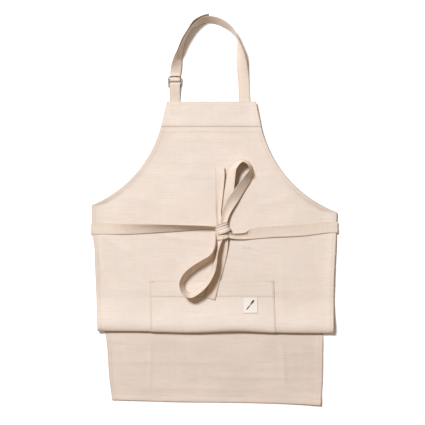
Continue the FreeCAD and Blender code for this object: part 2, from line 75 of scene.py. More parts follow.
# The lower skirt: its side edges at the fold, how far each has moved at the hem, the hem's skew
SKIRT_LEFT, SKIRT_RIGHT, HEM_SKEW = -290, 288, -0.0208
SKIRT_DRAW_LEFT, SKIRT_DRAW_RIGHT = 18, -7
# The left side is pushed in a little below the tie
SIDE_DENT, DENT_Y, DENT_SPAN = 2.2, -96, 26
SEAM_ROW = SEAM_Y - 15
STRAP_X, TAB_X, TAB_WIDTH = 79, -105.6, 27.5
TIE_LEFT, TIE_RIGHT, SEWN_LENGTH = (-325.2, -50), (322.4, -46), 34

CLOTH, BAND, BAND_WIDTH = 0.9, 1.4, 28
SIDE_HEM, BOTTOM_HEM, HEM_STITCH = 9.0, 16.0, 2.0
TABLE_GAP = 0.02

COTTON = (0.704, 0.588, 0.492)
TRIM = (0.710, 0.596, 0.500)
BANDS = (0.688, 0.554, 0.446)
THREAD = (0.60, 0.50, 0.41)
INK = (0.050, 0.040, 0.031)
TAPE_COLOUR = (0.50, 0.375, 0.265)
LABEL_COLOUR = (0.71, 0.635, 0.555)
SEED_FLECK = (0.36, 0.25, 0.15)
# Factors on the cloth's colour: where it is rubbed, with painted shade along edges, hems and seams, and a
# painted shade that darkens the lower skirt
WEAR_AND_SHADE_TINT = (0.72, 0.62, 0.52)
SKIRT_PAINTED_SHADE = (0.93, 0.905, 0.89)
DULL_STEEL, BRIGHT_STEEL = (0.42, 0.40, 0.375), (0.66, 0.64, 0.60)
FLOOR_COLOUR = (0.93, 0.93, 0.93)


# ---- fields of small relief

def lattice(seed):
    return np.random.default_rng(seed).uniform(-1, 1, (64, 64))


def relief(x, y, size, seed):
    """Smooth random relief from -1 to 1 with features about size across; size may be (x, y)."""
    table = lattice(seed)
    sx, sy = size if isinstance(size, tuple) else (size, size)
    u, v = np.asarray(x) / sx + 17.3, np.asarray(y) / sy + 41.7
    i, j = np.floor(u).astype(int), np.floor(v).astype(int)
    fu, fv = u - i, v - j
    fu, fv = fu * fu * (3 - 2 * fu), fv * fv * (3 - 2 * fv)
    a, b = table[i % 64, j % 64], table[(i + 1) % 64, j % 64]
    c, d = table[i % 64, (j + 1) % 64], table[(i + 1) % 64, (j + 1) % 64]
    return (a * (1 - fu) + b * fu) * (1 - fv) + (c * (1 - fu) + d * fu) * fv


def step(low, high, t):
    t = np.clip((np.asarray(t, float) - low) / (high - low), 0, 1)
    return t * t * (3 - 2 * t)


def bump(t, centre, width):
    return np.exp(-((np.asarray(t) - centre) / width) ** 2)


def travelled(points):
    """Distance along a polyline at each of its points."""
    return np.concatenate([[0], np.cumsum(np.linalg.norm(np.diff(points, axis=0), axis=1))])


def crease(x, y, start, end, width, height):
    """A ridge (or a valley, with a negative height) between two plan points, fading at its ends."""
    (ax, ay), (bx, by) = start, end
    length = math.hypot(bx - ax, by - ay)
    dx, dy = (bx - ax) / length, (by - ay) / length
    along = (x - ax) * dx + (y - ay) * dy
    across = (y - ay) * dx - (x - ax) * dy
    fade = step(-0.15 * length, 0.2 * length, along) * (1 - step(0.8 * length, 1.15 * length, along))
    return height * fade * np.exp(-(across / width) ** 2)


# ---- the apron's plan

def circle_through(three):
    (ax, ay), (bx, by), (cx, cy) = three
    d = 2 * (ax * (by - cy) + bx * (cy - ay) + cx * (ay - by))
    a2, b2, c2 = ax * ax + ay * ay, bx * bx + by * by, cx * cx + cy * cy
    ux = (a2 * (by - cy) + b2 * (cy - ay) + c2 * (ay - by)) / d
    uy = (a2 * (cx - bx) + b2 * (ax - cx) + c2 * (bx - ax)) / d
    return ux, uy, math.hypot(ax - ux, ay - uy)


def front_edge(y, side):
    """X of the front layer's left (side -1) or right (+1) edge at plan Y."""
    hole = LEFT_ARMHOLE if side < 0 else RIGHT_ARMHOLE
    top = BIB_TOP_LEFT if side < 0 else BIB_TOP_RIGHT
    points = LEFT_SIDE if side < 0 else RIGHT_SIDE
    cx, cy, radius = circle_through(hole)
    y = np.asarray(y, float)
    bib = top + (hole[0][0] - top) * (BIB_TOP - y) / (BIB_TOP - SEAM_Y)
    arc = cx - side * np.sqrt(np.maximum(radius ** 2 - (y - cy) ** 2, 0))
    xs = [hole[-1][0]] + [p[0] for p in points] + [points[-1][0]]
    ys = [hole[-1][1]] + [p[1] for p in points] + [-360.0]
    flank = np.interp(-y, [-v for v in ys], xs)
    return np.where(y > SEAM_Y, bib, np.where(y > hole[-1][1], arc, flank))


def front_edges(y):
    return float(front_edge(y, -1)), float(front_edge(y, 1))


def fold_wave(x):
    return 2.8 * bump(x, 66, 70) - 0.8 * bump(x, -60, 60) + 0.6 * np.sin(x / 47)


def fold_line(x):
    return FOLD_Y + FOLD_SKEW * (x - FOLD_MID_X) + fold_wave(x)


def skirt_edge(share, side):
    """Plan X of the lower skirt's side edge, a share of the way from the fold to the hem."""
    return SKIRT_LEFT + SKIRT_DRAW_LEFT * share if side < 0 else SKIRT_RIGHT + SKIRT_DRAW_RIGHT * share


def skirt_line(nominal, share, x):
    """Plan Y along a row of the lower skirt, which turns from the fold's skew to the hem's."""
    skew = FOLD_SKEW + share * (HEM_SKEW - FOLD_SKEW)
    y = nominal + skew * (x - FOLD_MID_X) + (1 - step(0, 0.3, share)) * fold_wave(x)
    return y + share * (0.8 * np.sin(x / 60) - 1.6 * bump(x, 268, 20))


def pocket_side(t, side):
    """X of the pocket's side at a distance below its mouth."""
    start, drift = (POCKET_LEFT, LEFT_DRIFT) if side < 0 else (POCKET_RIGHT, RIGHT_DRIFT)
    return start + drift * t / DRIFT_RUN


# ---- how the canvas lies

NOSE = 13.0
NOSE_LEVEL = 8.6
HIDDEN_LEVEL = 2.65
UNDER_LEVEL = 0.55

# Creases of the front and of the lower skirt: start, end, width, height
FRONT_CREASES = [
    ((-300, -66), (-215, -120), 9, 1.2), ((-316, -80), (-300, -150), 7, -1.3),
    ((-20, -84), (-140, -70), 7, 0.9), ((50, -90), (118, -104), 4, 0.9),
    ((54, -104), (126, -121), 4, 0.8), ((60, -119), (150, -139), 5, 0.7),
    ((-178, -182), (-204, -160), 5, 0.8), ((-250, 40), (-120, 10), 12, 0.7),
    ((210, 40), (120, 10), 12, 0.7), ((-100, 190), (60, 186), 7, 0.5),
    ((-170, -130), (-168, -300), 5, 0.55), ((178, -110), (184, -300), 5, 0.5),
    ((-290, -210), (290, -214), 6, 0.45), ((-220, 96), (180, 90), 8, 0.4),
]
SKIRT_CREASES = [
    ((-170, -350), (-172, -470), 4, 1.1), ((178, -350), (186, -462), 5, 1.3),
    ((-260, -400), (40, -404), 6, 0.6), ((-30, -438), (270, -446), 6, 0.7),
    ((-200, -470), (120, -476), 7, 0.5), ((60, -372), (262, -380), 6, 0.5),
]


def lie(x, y):
    """Unevenness of the front layer as it lies: soft waves, the folds it was packed in, small puckers."""
    z = 0.85 * relief(x, y, 150, 1) + 0.45 * relief(x, y, (110, 48), 2)
    z = z + 0.24 * relief(x, y, (46, 20), 3) + 0.10 * relief(x, y, (17, 9), 4)
    for fold in FRONT_CREASES:
        z = z + crease(x, y, *fold)
    return z


def edge_lift(x, y):
    """The free sides and the bib's edges stand a little off the table."""
    lower = np.clip(np.asarray(y, float), -330, BIB_TOP)
    right = np.clip(front_edge(lower, 1) - x, 0, None)
    left = np.clip(x - front_edge(lower, -1), 0, None)
    rise_right = 3.6 + 1.1 * np.sin(np.asarray(y) / 37.0)
    rise_left = 1.4 + 0.9 * np.sin(np.asarray(y) / 29.0 + 1)
    return rise_right * np.exp(-(right / 20) ** 2) + rise_left * np.exp(-(left / 16) ** 2)


def nose_round(d):
    """How far the fold's nose has opened, from 0 to 1, at a distance from its tip."""
    return np.sqrt(np.clip(1 - (1 - np.clip(d / NOSE, 0, 1)) ** 2, 0, 1))


def nose_distance(angle):
    """Distance back from the nose's tip at an angle round it, in degrees."""
    return NOSE * (1 - math.cos(math.radians(angle)))


NOSE_DEPTHS = [nose_distance(angle) for angle in (12, 24, 40, 58, 76)]


def front_height(x, y):
    """Level of the middle of the front layer over the plan."""
    d = y - fold_line(x)
    puff = 14.6 + 1.5 * np.sin(x / 70 + 1) + 0.8 * np.sin(x / 31)
    base = 3.3 + 0.9 * step(242, 280, y)
    flat = base + lie(x, y) * (0.55 + 0.45 * step(10, 60, d))
    stack = 2.2 * (1 - step(56, 92, d))
    z = flat + stack + (puff - base - 2.0) * np.exp(-(np.maximum(d - 14, 0) / 32) ** 2)
    z = z + edge_lift(x, y)
    z = NOSE_LEVEL + (z - NOSE_LEVEL) * nose_round(d)
    floor = 0.75 + 0.3 * step(0, 40, d)
    return np.maximum(z, floor)


def hidden_height(depth):
    """Level of the layer under the front fold, a depth back from its nose."""
    return NOSE_LEVEL - (NOSE_LEVEL - HIDDEN_LEVEL) * nose_round(depth)


def skirt_height(x, y):
    """Level of the lower skirt, which lies on the table below the front fold."""
    below = step(0, 30, fold_line(x) - y)
    z = 0.5 * relief(x, y, 90, 11) + 0.35 * relief(x, y, (60, 14), 12) + 0.12 * relief(x, y, (20, 8), 13)
    for fold in SKIRT_CREASES:
        z = z + crease(x, y, *fold)
    z = z + 2.6 * step(-478, -514, y) * bump(x, 268, 60) + 1.3 * step(-484, -508, y) * bump(x, -250, 40)
    z = z + 0.8 * step(-488, -510, y) + 1.9 * step(264, 286, x) + 0.7 * step(-262, -284, x)
    return UNDER_LEVEL + below * np.maximum(0.75 + z, 0.0)


# ---- meshes

def normals_of(grid):
    across, along = np.gradient(grid, axis=1), np.gradient(grid, axis=0)
    n = np.cross(across, along)
    length = np.linalg.norm(n, axis=2, keepdims=True)
    return n / np.maximum(length, 1e-9)


def add_object(name, verts, faces, uvs, wear, painted_shade=None):
    """A mesh object from design millimetres, with metric UVs, its wear and painted shade, and a mask of
    painted shade that darkens its colour.
    """
    mesh = bpy.data.meshes.new(name)
    mesh.from_pydata(((np.asarray(verts) + DESIGN) * MM).tolist(), [], faces)
    layer = mesh.uv_layers.new(name="flat")
    loops = np.empty(len(mesh.loops), dtype=np.int32)
    mesh.loops.foreach_get("vertex_index", loops)
    layer.data.foreach_set("uv", (np.asarray(uvs)[loops] * MM).astype(np.float32).ravel())
    for label, values in (("wear", wear), ("painted_shade", painted_shade)):
        if values is not None:
            attribute = mesh.attributes.new(label, "FLOAT", "POINT")
            attribute.data.foreach_set("value", np.asarray(values, dtype=np.float32).ravel())
    mesh.shade_smooth()
    mesh.update()
    obj = bpy.data.objects.new(name, mesh)
    bpy.context.scene.collection.objects.link(obj)
    return obj


def sheet_shell(grid, uv, thickness, wear, rounding=0.35):
    """Vertices, faces, UVs, and wear and painted shade, of a closed cloth shell about a middle surface, with
    rounded rims.
    """
    grid, uv = np.asarray(grid), np.asarray(uv)
    rows, cols = grid.shape[:2]
    thick = np.broadcast_to(np.asarray(thickness, float), (rows, cols))[..., None]
    n = normals_of(grid)
    top, under = grid + n * thick / 2, grid - n * thick / 2
    count = rows * cols
    index = np.arange(count).reshape(rows, cols)
    quads = np.stack([index[:-1, :-1], index[:-1, 1:], index[1:, 1:], index[1:, :-1]], -1).reshape(-1, 4)
    faces = quads.tolist() + (quads[:, ::-1] + count).tolist()
    ring = np.concatenate([index[0, :-1], index[:-1, -1], index[-1, :0:-1], index[:0:-1, 0]])
    flat = grid.reshape(-1, 3)
    inward = np.roll(flat[ring], 1, 0) - np.roll(flat[ring], -1, 0)
    side = np.cross(inward, n.reshape(-1, 3)[ring])
    side /= np.maximum(np.linalg.norm(side, axis=1, keepdims=True), 1e-9)
    inner = grid[min(2, rows - 1):-min(2, rows - 1) or None, :].reshape(-1, 3).mean(0)
    if ((flat[ring] - inner) * side).sum() < 0:
        side = -side
    rim = flat[ring] + side * (thick.reshape(-1)[ring] * rounding)[:, None]
    first = 2 * count
    m = len(ring)
    for k in range(m):
        a, b = int(ring[k]), int(ring[(k + 1) % m])
        p, q = first + k, first + (k + 1) % m
        faces.append([b, a, p, q])
        faces.append([q, p, a + count, b + count])
    flat_uv = uv.reshape(-1, 2)
    verts = np.concatenate([top.reshape(-1, 3), under.reshape(-1, 3), rim])
    uvs = np.concatenate([flat_uv, flat_uv, flat_uv[ring]])
    w = np.asarray(wear).reshape(-1)
    return verts, faces, uvs, np.concatenate([w, w, w[ring]])


class Gather:
    """Several shells joined into one mesh object."""

    def __init__(self):
        self.verts, self.faces, self.uvs, self.wear, self.count = [], [], [], [], 0

    def add(self, verts, faces, uvs, wear):
        self.verts.append(verts)
        self.faces += [[i + self.count for i in f] for f in faces]
        self.uvs.append(uvs)
        self.wear.append(wear)
        self.count += len(verts)

    def object(self, name):
        return add_object(name, np.concatenate(self.verts), self.faces, np.concatenate(self.uvs),
                          np.concatenate(self.wear))


# ---- materials

class Graph:
    """Short calls for a material's nodes."""

    def __init__(self, name):
        self.material = bpy.data.materials.new(name)
        self.material.use_nodes = True
        self.tree = self.material.node_tree
        self.shader = self.tree.nodes["Principled BSDF"]

    def set(self, **values):
        """Set the shader's own sockets; an underscore in a name stands for a space."""
        for key, value in values.items():
            self.shader.inputs[key.replace("_", " ")].default_value = value

    def roughen(self, height, distance, strength=1.0):
        """Bump the shader's normal."""
        node = self.node("ShaderNodeBump")
        node.inputs["Strength"].default_value = strength
        node.inputs["Distance"].default_value = distance
        self.link(height, node.inputs["Height"])
        self.link(node.outputs["Normal"], self.shader.inputs["Normal"])

    def node(self, kind, **values):
        node = self.tree.nodes.new(kind)
        for key, value in values.items():
            setattr(node, key, value)
        return node

    def link(self, a, b):
        self.tree.links.new(a, b)

    def math(self, operation, a, b=None, c=None, clamp=False):
        node = self.node("ShaderNodeMath", operation=operation, use_clamp=clamp)
        for socket, value in zip(node.inputs, (a, b, c)):
            if value is None:
                continue
            if isinstance(value, (int, float)):
                socket.default_value = value
            else:
                self.link(value, socket)
        return node.outputs[0]

    def noise(self, vector, scale, detail=2.0, roughness=0.5):
        node = self.node("ShaderNodeTexNoise")
        node.inputs["Scale"].default_value = scale
        node.inputs["Detail"].default_value = detail
        node.inputs["Roughness"].default_value = roughness
        self.link(vector, node.inputs["Vector"])
        return node.outputs["Fac"]

    def stretched(self, vector, scale):
        node = self.node("ShaderNodeMapping")
        node.inputs["Scale"].default_value = scale
        self.link(vector, node.inputs["Vector"])
        return node.outputs["Vector"]

    def blend(self, factor, a, b, mode="MIX"):
        node = self.node("ShaderNodeMix", data_type="RGBA", blend_type=mode)
        for socket, value in ((node.inputs[0], factor), (node.inputs[6], a), (node.inputs[7], b)):
            if isinstance(value, (int, float)):
                socket.default_value = value
            elif isinstance(value, tuple):
                socket.default_value = (*value, 1.0)
            else:
                self.link(value, socket)
        return node.outputs[2]

    def ramp(self, factor, low, high):
        node = self.node("ShaderNodeMapRange", interpolation_type="SMOOTHSTEP")
        node.inputs["From Min"].default_value = low
        node.inputs["From Max"].default_value = high
        self.link(factor, node.inputs["Value"])
        return node.outputs["Result"]


def shaded(colour, factor):
    return tuple(c * factor for c in colour)


def cloth_material(name, colour, thread=0.8, relief_height=0.00016, fleck=1.0, slub=1.0):
    """Unbleached plain weave: crossed threads, slubs both ways, seed flecks and soft mottling."""
    g = Graph(name)
    uv = g.node("ShaderNodeUVMap", uv_map="flat").outputs["UV"]
    split = g.node("ShaderNodeSeparateXYZ")
    g.link(uv, split.inputs["Vector"])
    turn = 2 * math.pi / (thread * MM)
    wobble = g.noise(uv, 160, 2)
    drift = g.math("MULTIPLY", g.math("SUBTRACT", wobble, 0.5), 2.4)
    across = g.math("SINE", g.math("ADD", g.math("MULTIPLY", split.outputs["X"], turn), drift))
    along = g.math("SINE", g.math("ADD", g.math("MULTIPLY", split.outputs["Y"], turn), drift))
    weave = g.math("MULTIPLY", across, along)
    weft = g.noise(g.stretched(uv, (30, 900, 1)), 1.0, 3, 0.6)
    warp = g.noise(g.stretched(uv, (900, 24, 1)), 1.0, 3, 0.6)
    mottle = g.noise(uv, 9, 4, 0.6)
    grain = g.noise(uv, 700, 2)
    band = g.noise(g.stretched(uv, (11, 260, 1)), 1.0, 2, 0.5)
    cross_band = g.noise(g.stretched(uv, (300, 9, 1)), 1.0, 2, 0.5)
    tone = g.blend(g.ramp(mottle, 0.3, 0.72), shaded(colour, 0.955), shaded(colour, 1.03))
    # Layers of tone: the field, the range it comes in over, its share, and its factor on the colour
    for field, low, high, share, factor in (
            (weft, 0.48, 0.72, 0.46 * slub, 0.76), (warp, 0.52, 0.76, 0.34 * slub, 0.79),
            (band, 0.50, 0.68, 0.45 * slub, 0.88), (cross_band, 0.52, 0.72, 0.22 * slub, 1.07),
            (weave, -0.2, -1.0, 0.20, 0.66), (grain, 0.55, 0.8, 0.10, 1.12)):
        tone = g.blend(g.math("MULTIPLY", g.ramp(field, low, high), share), tone, shaded(colour, factor))
    seeds = g.noise(uv, 420, 1)
    tone = g.blend(g.math("MULTIPLY", g.ramp(seeds, 0.765, 0.80), 0.55 * fleck), tone, SEED_FLECK)
    # Wear and painted shade: rubbed edges, and painted shade along edges, hems and seams, mixed towards a
    # darker brown
    wear = g.node("ShaderNodeAttribute", attribute_name="wear").outputs["Fac"]
    wear_and_shade_amount = g.math("MULTIPLY", wear, g.math("ADD", g.noise(uv, 240, 2), 0.35))
    wear_and_shade_colour = tuple(c * f for c, f in zip(colour, WEAR_AND_SHADE_TINT))
    tone = g.blend(g.math("MULTIPLY", wear_and_shade_amount, 0.9, clamp=True), tone, wear_and_shade_colour)
    # Painted shade: where the mask is set, over the lower skirt, the colour is multiplied darker by a fixed
    # tint
    painted_shade_mask = g.node("ShaderNodeAttribute", attribute_name="painted_shade").outputs["Fac"]
    tone = g.blend(painted_shade_mask, tone, SKIRT_PAINTED_SHADE, mode="MULTIPLY")
    g.link(tone, g.shader.inputs["Base Color"])
    g.link(g.math("MULTIPLY_ADD", grain, 0.16, 0.80), g.shader.inputs["Roughness"])
    height = g.math("MULTIPLY_ADD", weave, 0.5, g.math("MULTIPLY", weft, 0.9 * slub))
    height = g.math("MULTIPLY_ADD", warp, 0.7 * slub, height)
    height = g.math("MULTIPLY_ADD", grain, 0.3, height)
    g.roughen(height, relief_height, 0.75)
    g.set(Sheen_Weight=0.16, Sheen_Roughness=0.5, Specular_IOR_Level=0.22)
    return g.material


def thread_material(name, colour):
    """Cotton-wrapped thread: a fine slanted twist and a little fuzz."""
    g = Graph(name)
    place = g.node("ShaderNodeTexCoord").outputs["Object"]
    twist = g.node("ShaderNodeTexWave", wave_type="BANDS", bands_direction="DIAGONAL")
    twist.inputs["Scale"].default_value = 900
    twist.inputs["Distortion"].default_value = 1.5
    g.link(place, twist.inputs["Vector"])
    fuzz = g.noise(place, 2500, 2)
    tone = g.blend(twist.outputs["Fac"], shaded(colour, 0.82), shaded(colour, 1.05))
    tone = g.blend(g.math("MULTIPLY", fuzz, 0.2), tone, shaded(colour, 0.7))
    g.link(tone, g.shader.inputs["Base Color"])
    g.link(g.math("MULTIPLY_ADD", fuzz, 0.2, 0.6), g.shader.inputs["Roughness"])
    g.roughen(twist.outputs["Fac"], 0.00008)
    g.set(Sheen_Weight=0.15)
    return g.material


def ring_material():
    """Nickel-plated wire: soft lengthwise polish, fine scratches and slightly duller patches."""
    g = Graph("ring_steel")
    place = g.node("ShaderNodeTexCoord").outputs["Object"]
    scratch = g.noise(g.stretched(place, (300, 2600, 2600)), 1.0, 3, 0.7)
    patch = g.noise(place, 160, 3)
    tone = g.blend(g.ramp(patch, 0.35, 0.7), DULL_STEEL, BRIGHT_STEEL)
    g.link(tone, g.shader.inputs["Base Color"])
    rough = g.math("MULTIPLY_ADD", scratch, 0.22, g.math("MULTIPLY", patch, 0.18))
    g.link(rough, g.shader.inputs["Roughness"])
    g.roughen(scratch, 0.00003, 0.4)
    g.set(Metallic=1.0)
    return g.material


CANVAS = cloth_material("canvas", COTTON)
CANVAS_TRIM = cloth_material("canvas_trim", TRIM)
TAPE = cloth_material("tape", TAPE_COLOUR, thread=0.5, slub=0.5, fleck=0.4)
WEBBING = cloth_material("webbing", BANDS, thread=0.75, slub=0.9)
LABEL_CLOTH = cloth_material("label", LABEL_COLOUR, thread=0.4, relief_height=0.00008, fleck=0.0, slub=0.35)
SEWING = thread_material("thread", THREAD)
MOTIF = thread_material("motif_thread", INK)
STEEL = ring_material()

APRON = "apron"


def finish_piece(obj, material, nodes=()):
    obj.data.materials.append(material)
    if nodes:
        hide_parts(*nodes)
    return obj


# ---- the body panel

def edge_offsets(hem):
    """Distances in from an edge that give a turned hem a clean step and a stitch groove."""
    return np.array([0, 0.9, 2.6, hem - 3.4, hem - 2.2, hem - 1.4, hem, hem + 1.2, hem + 2.4, hem + 5.5])


INNER_COLUMNS = 122


def spread_columns(left, right, stretch_left, stretch_right):
    """Plan X of every column of a row, denser at both hems."""
    near_left = left + edge_offsets(SIDE_HEM) * stretch_left
    near_right = right - edge_offsets(SIDE_HEM)[::-1] * stretch_right
    middle = np.linspace(near_left[-1], near_right[0], INNER_COLUMNS + 2)[1:-1]
    return np.concatenate([near_left, middle, near_right])


def hem_profile(distance, hem):
    """Extra thickness over a turned hem, and the dip along its stitching."""
    extra = 0.5 * (1 - step(hem - 0.4, hem + 1.0, distance))
    groove = 0.34 * bump(distance, hem - HEM_STITCH, 0.9)
    return extra - groove


def edge_stretch(y, side):
    """How much longer a sideways offset is than the same offset square to the edge."""
    d = 6.0
    slope = (front_edge(y + d, side) - front_edge(y - d, side)) / (2 * d)
    return float(np.clip(math.sqrt(1 + slope * slope), 1.0, 2.4))


def front_rows():
    seam = [SEAM_Y - 0.5, SEAM_Y - 2, SEAM_Y - 4, SEAM_ROW + 1.5, SEAM_ROW, SEAM_ROW - 1.5]
    rows = np.linspace(BIB_TOP - 6, FOLD_Y + NOSE + 4, 142)
    rows = [r for r in rows if min(abs(r - v) for v in seam) > 1.2]
    return np.array(sorted([BIB_TOP, BIB_TOP - 1.5, BIB_TOP - 3] + seam + rows, reverse=True))


def fold_pull(nominal, x):
    """How far a row of the front is drawn up or down as rows near the fold come to follow it."""
    return step(-40, FOLD_Y, nominal) * (FOLD_SKEW * (x - FOLD_MID_X) + fold_wave(x))


def body_panel():
    grid, uv, thick, wear = [], [], [], []
    offsets = edge_offsets(SIDE_HEM)
    ncol = 2 * len(offsets) + INNER_COLUMNS
    inset = np.full(ncol, 99.0)
    inset[:len(offsets)] = offsets
    inset[-len(offsets):] = offsets[::-1]

    def add_row(x, y, z, v, extra=0.0, wear_row=0.0):
        grid.append(np.stack(np.broadcast_arrays(x, y, z), -1))
        uv.append(np.stack([x, np.full_like(x, v)], -1))
        side = hem_profile(inset, SIDE_HEM)
        thick.append(np.maximum(CLOTH + side + extra, 0.5))
        # Wear and painted shade along the outer edge and the side hem
        wear.append(np.clip(0.8 * bump(inset, 0, 2.2) + 0.35 * bump(inset, SIDE_HEM, 1.2) + wear_row, 0, 1))

    for nominal in front_rows():
        left, right = front_edges(nominal)
        x = spread_columns(left, right, edge_stretch(nominal, -1), edge_stretch(nominal, 1))
        x = x + SIDE_DENT * bump(nominal, DENT_Y, DENT_SPAN) * step(-290, -322, x)
        y = nominal + fold_pull(nominal, x)
        lift = 0.7 * bump(np.minimum(inset, 30), 0, 5) * relief(x, y, 38, 6)
        # Painted shade along the row under the facing's edge and along the stitch row below it, with some
        # wear
        wear_and_shade_amount = 0.32 * float(bump(nominal, SEAM_ROW, 1.8)) + 0.5 * float(bump(nominal, SEAM_Y - 1.5, 2.0))
        add_row(x, y, front_height(x, y) + lift, nominal, wear_row=wear_and_shade_amount)
    left, right = front_edges(FOLD_Y)
    x = spread_columns(left, right, 1, 1)
    for angle in np.linspace(80, 8, 8):
        d = nose_distance(angle)
        y = fold_line(x) + d
        add_row(x, y, front_height(x, y), FOLD_Y + d - (90 - angle) * 0.03, wear_row=0.12)
    add_row(x, fold_line(x), NOSE_LEVEL, FOLD_Y - 4, wear_row=0.2)
    for depth in NOSE_DEPTHS + [14, 24, 36, 48, 54]:
        share = depth / HIDDEN_DEPTH
        x = spread_columns(left + 9 * share, right - 12 * share, 1, 1)
        v = FOLD_Y - 4 - depth * 1.1
        add_row(x, fold_line(x) + depth, hidden_height(depth), v)
    mid, radius = (HIDDEN_LEVEL + UNDER_LEVEL) / 2, (HIDDEN_LEVEL - UNDER_LEVEL) / 2
    for angle in np.linspace(75, -75, 6):
        a = math.radians(angle)
        x = spread_columns(left + 9.5, right - 12.5, 1, 1)
        y = fold_line(x) + HIDDEN_DEPTH - 4 + radius * 2.5 * math.cos(a)
        add_row(x, y, mid + radius * math.sin(a), v - 3 + angle * 0.02)
    for depth in np.linspace(50, 6, 8):
        share = 1 - depth / 54
        x = spread_columns(left + 10 + 9 * share, right - 13 - 12 * share, 1, 1)
        add_row(x, fold_line(x) + depth, UNDER_LEVEL, v - 8 - (54 - depth))
    above_hem = BOTTOM_HEM + np.array([5, 2, 0.8, -0.3, -1.5, -2.4, -3.5])
    hem_rows = HEM_NOMINAL + np.concatenate([above_hem, [9, 5, 2.4, 0.9, 0]])
    for nominal in [*np.linspace(FOLD_Y - 1, hem_rows[0] + 4, 38), *hem_rows]:
        share = (FOLD_Y - nominal) / (FOLD_Y - HEM_NOMINAL)
        left_x = skirt_edge(share, -1) + 1.2 * math.sin(share * 7)
        right_x = skirt_edge(share, 1) - math.sin(share * 6 + 1)
        x = spread_columns(left_x, right_x, 1, 1)
        y = skirt_line(nominal, share, x)
        distance = nominal - HEM_NOMINAL
        extra = float(hem_profile(distance, BOTTOM_HEM))
        wear_and_shade_amount = 0.7 * float(bump(distance, 0, 2.2)) + 0.3 * float(bump(distance, BOTTOM_HEM, 1.4))
        add_row(x, y, skirt_height(x, y) + max(extra, 0) / 2, v - 60 - (FOLD_Y - nominal), extra, wear_and_shade_amount)
    shell = sheet_shell(grid, uv, thick, wear)
    # Painted shade: a mask that darkens the lower skirt and the layers folded under it
    painted_shade = step(FOLD_Y - 30, FOLD_Y - 70, shell[2][:, 1])
    return add_object("body_panel", *shell, painted_shade=painted_shade)


# ---- pieces that lie on the front

# The pocket's middle surface off the front layer's
POCKET_REACH = 1.04


def over_front(x, y, lift):
    """Points a given distance off the front layer's middle, square to it."""
    e = 0.6
    z = front_height(x, y)
    nx = -(front_height(x + e, y) - front_height(x - e, y)) / (2 * e)
    ny = -(front_height(x, y + e) - front_height(x, y - e)) / (2 * e)
    n = np.stack([nx, ny, np.ones_like(nx)], -1)
    n /= np.linalg.norm(n, axis=-1, keepdims=True)
    return np.stack([x, y, z], -1) + n * lift, n


def bib_facing():
    top_rows = np.linspace(BIB_TOP + 0.3, BIB_TOP - 2, 3)
    seam_rows = SEAM_Y + np.array([6, 5, 4, 3, 1.6, 0.5, -0.3])
    rows = np.concatenate([top_rows, np.linspace(BIB_TOP - 5, SEAM_Y + 9, 13), seam_rows])
    grid, uv, thick, wear = [], [], [], []
    for y in rows:
        left, right = front_edges(y) + np.array((-0.3, 0.3))
        x = np.concatenate([[left, left + 1, left + 3], np.linspace(left + 6, right - 6, 64),
                            [right - 3, right - 1, right]])
        groove = 0.35 * float(bump(y, SEAM_Y + 4, 1.0)) + 0.35 * float(bump(y, BIB_TOP - 10, 1.2))
        pucker = 0.16 * relief(x, np.full_like(x, y), (9, 14), 21)
        p, _ = over_front(x, np.full_like(x, y), 1.0)
        p[:, 2] += pucker * (bump(y, SEAM_Y + 6, 9) + bump(y, BIB_TOP - 9, 9))
        grid.append(p)
        uv.append(np.stack([x, np.full_like(x, y) + 3], -1))
        thick.append(np.full_like(x, 1.05 - groove))
        edge = np.minimum(x - left, right - x)
        # Wear and painted shade along the facing's edges, its lower edge and its top
        wear_and_shade_amount = 0.6 * bump(edge, 0, 2) + 0.6 * bump(y, SEAM_Y, 1.5) + 0.5 * bump(y, BIB_TOP, 2)
        wear.append(np.clip(wear_and_shade_amount, 0, 1))
    return add_object("bib_facing", *sheet_shell(grid, uv, thick, wear))


def armhole_tape(side):
    """A narrow binding that follows the armhole on the back of the cloth."""
    hole = LEFT_ARMHOLE if side < 0 else RIGHT_ARMHOLE
    cx, cy, radius = circle_through(hole)
    start = math.atan2(hole[0][1] - cy, hole[0][0] - cx)
    end = math.atan2(hole[2][1] - cy, hole[2][0] - cx)
    if end - start > math.pi:
        end -= 2 * math.pi
    if start - end > math.pi:
        start -= 2 * math.pi
    turns = np.linspace(start, end, 70)
    insets = np.array([-0.9, 0.0, 1.2, 3.0, 6.0, 9.0, 10.4, 11.0])
    grid, uv = [], []
    for inset in insets:
        r = radius + inset
        x, y = cx + r * np.cos(turns), cy + r * np.sin(turns)
        p, _ = over_front(x, y, -0.98 - 0.15 * float(bump(inset, 6, 5)))
        p[:, 2] = np.maximum(p[:, 2], 0.35)
        grid.append(p)
        uv.append(np.stack([r * turns, np.full_like(turns, inset)], -1))
    wear = np.broadcast_to((0.5 * bump(insets, 0, 1.5))[:, None], (len(insets), len(turns)))
    name = "armhole_tape_left" if side < 0 else "armhole_tape_right"
    return add_object(name, *sheet_shell(grid, uv, 0.6, wear))


def pocket_line(x, t):
    """Plan Y of the pocket at a distance below its mouth; it comes to follow the fold."""
    return POCKET_TOP - t + t / POCKET_DEPTH * (fold_line(x) - FOLD_Y)


def pocket_relief(x, y):
    """The pocket's own unevenness, and the slack of its mouth."""
    uneven = 0.35 * relief(x, y, (60, 22), 31) * step(-330, -300, y)
    return uneven + 0.5 * step(POCKET_TOP - 30, POCKET_TOP, y) * bump(x, 0, 130)


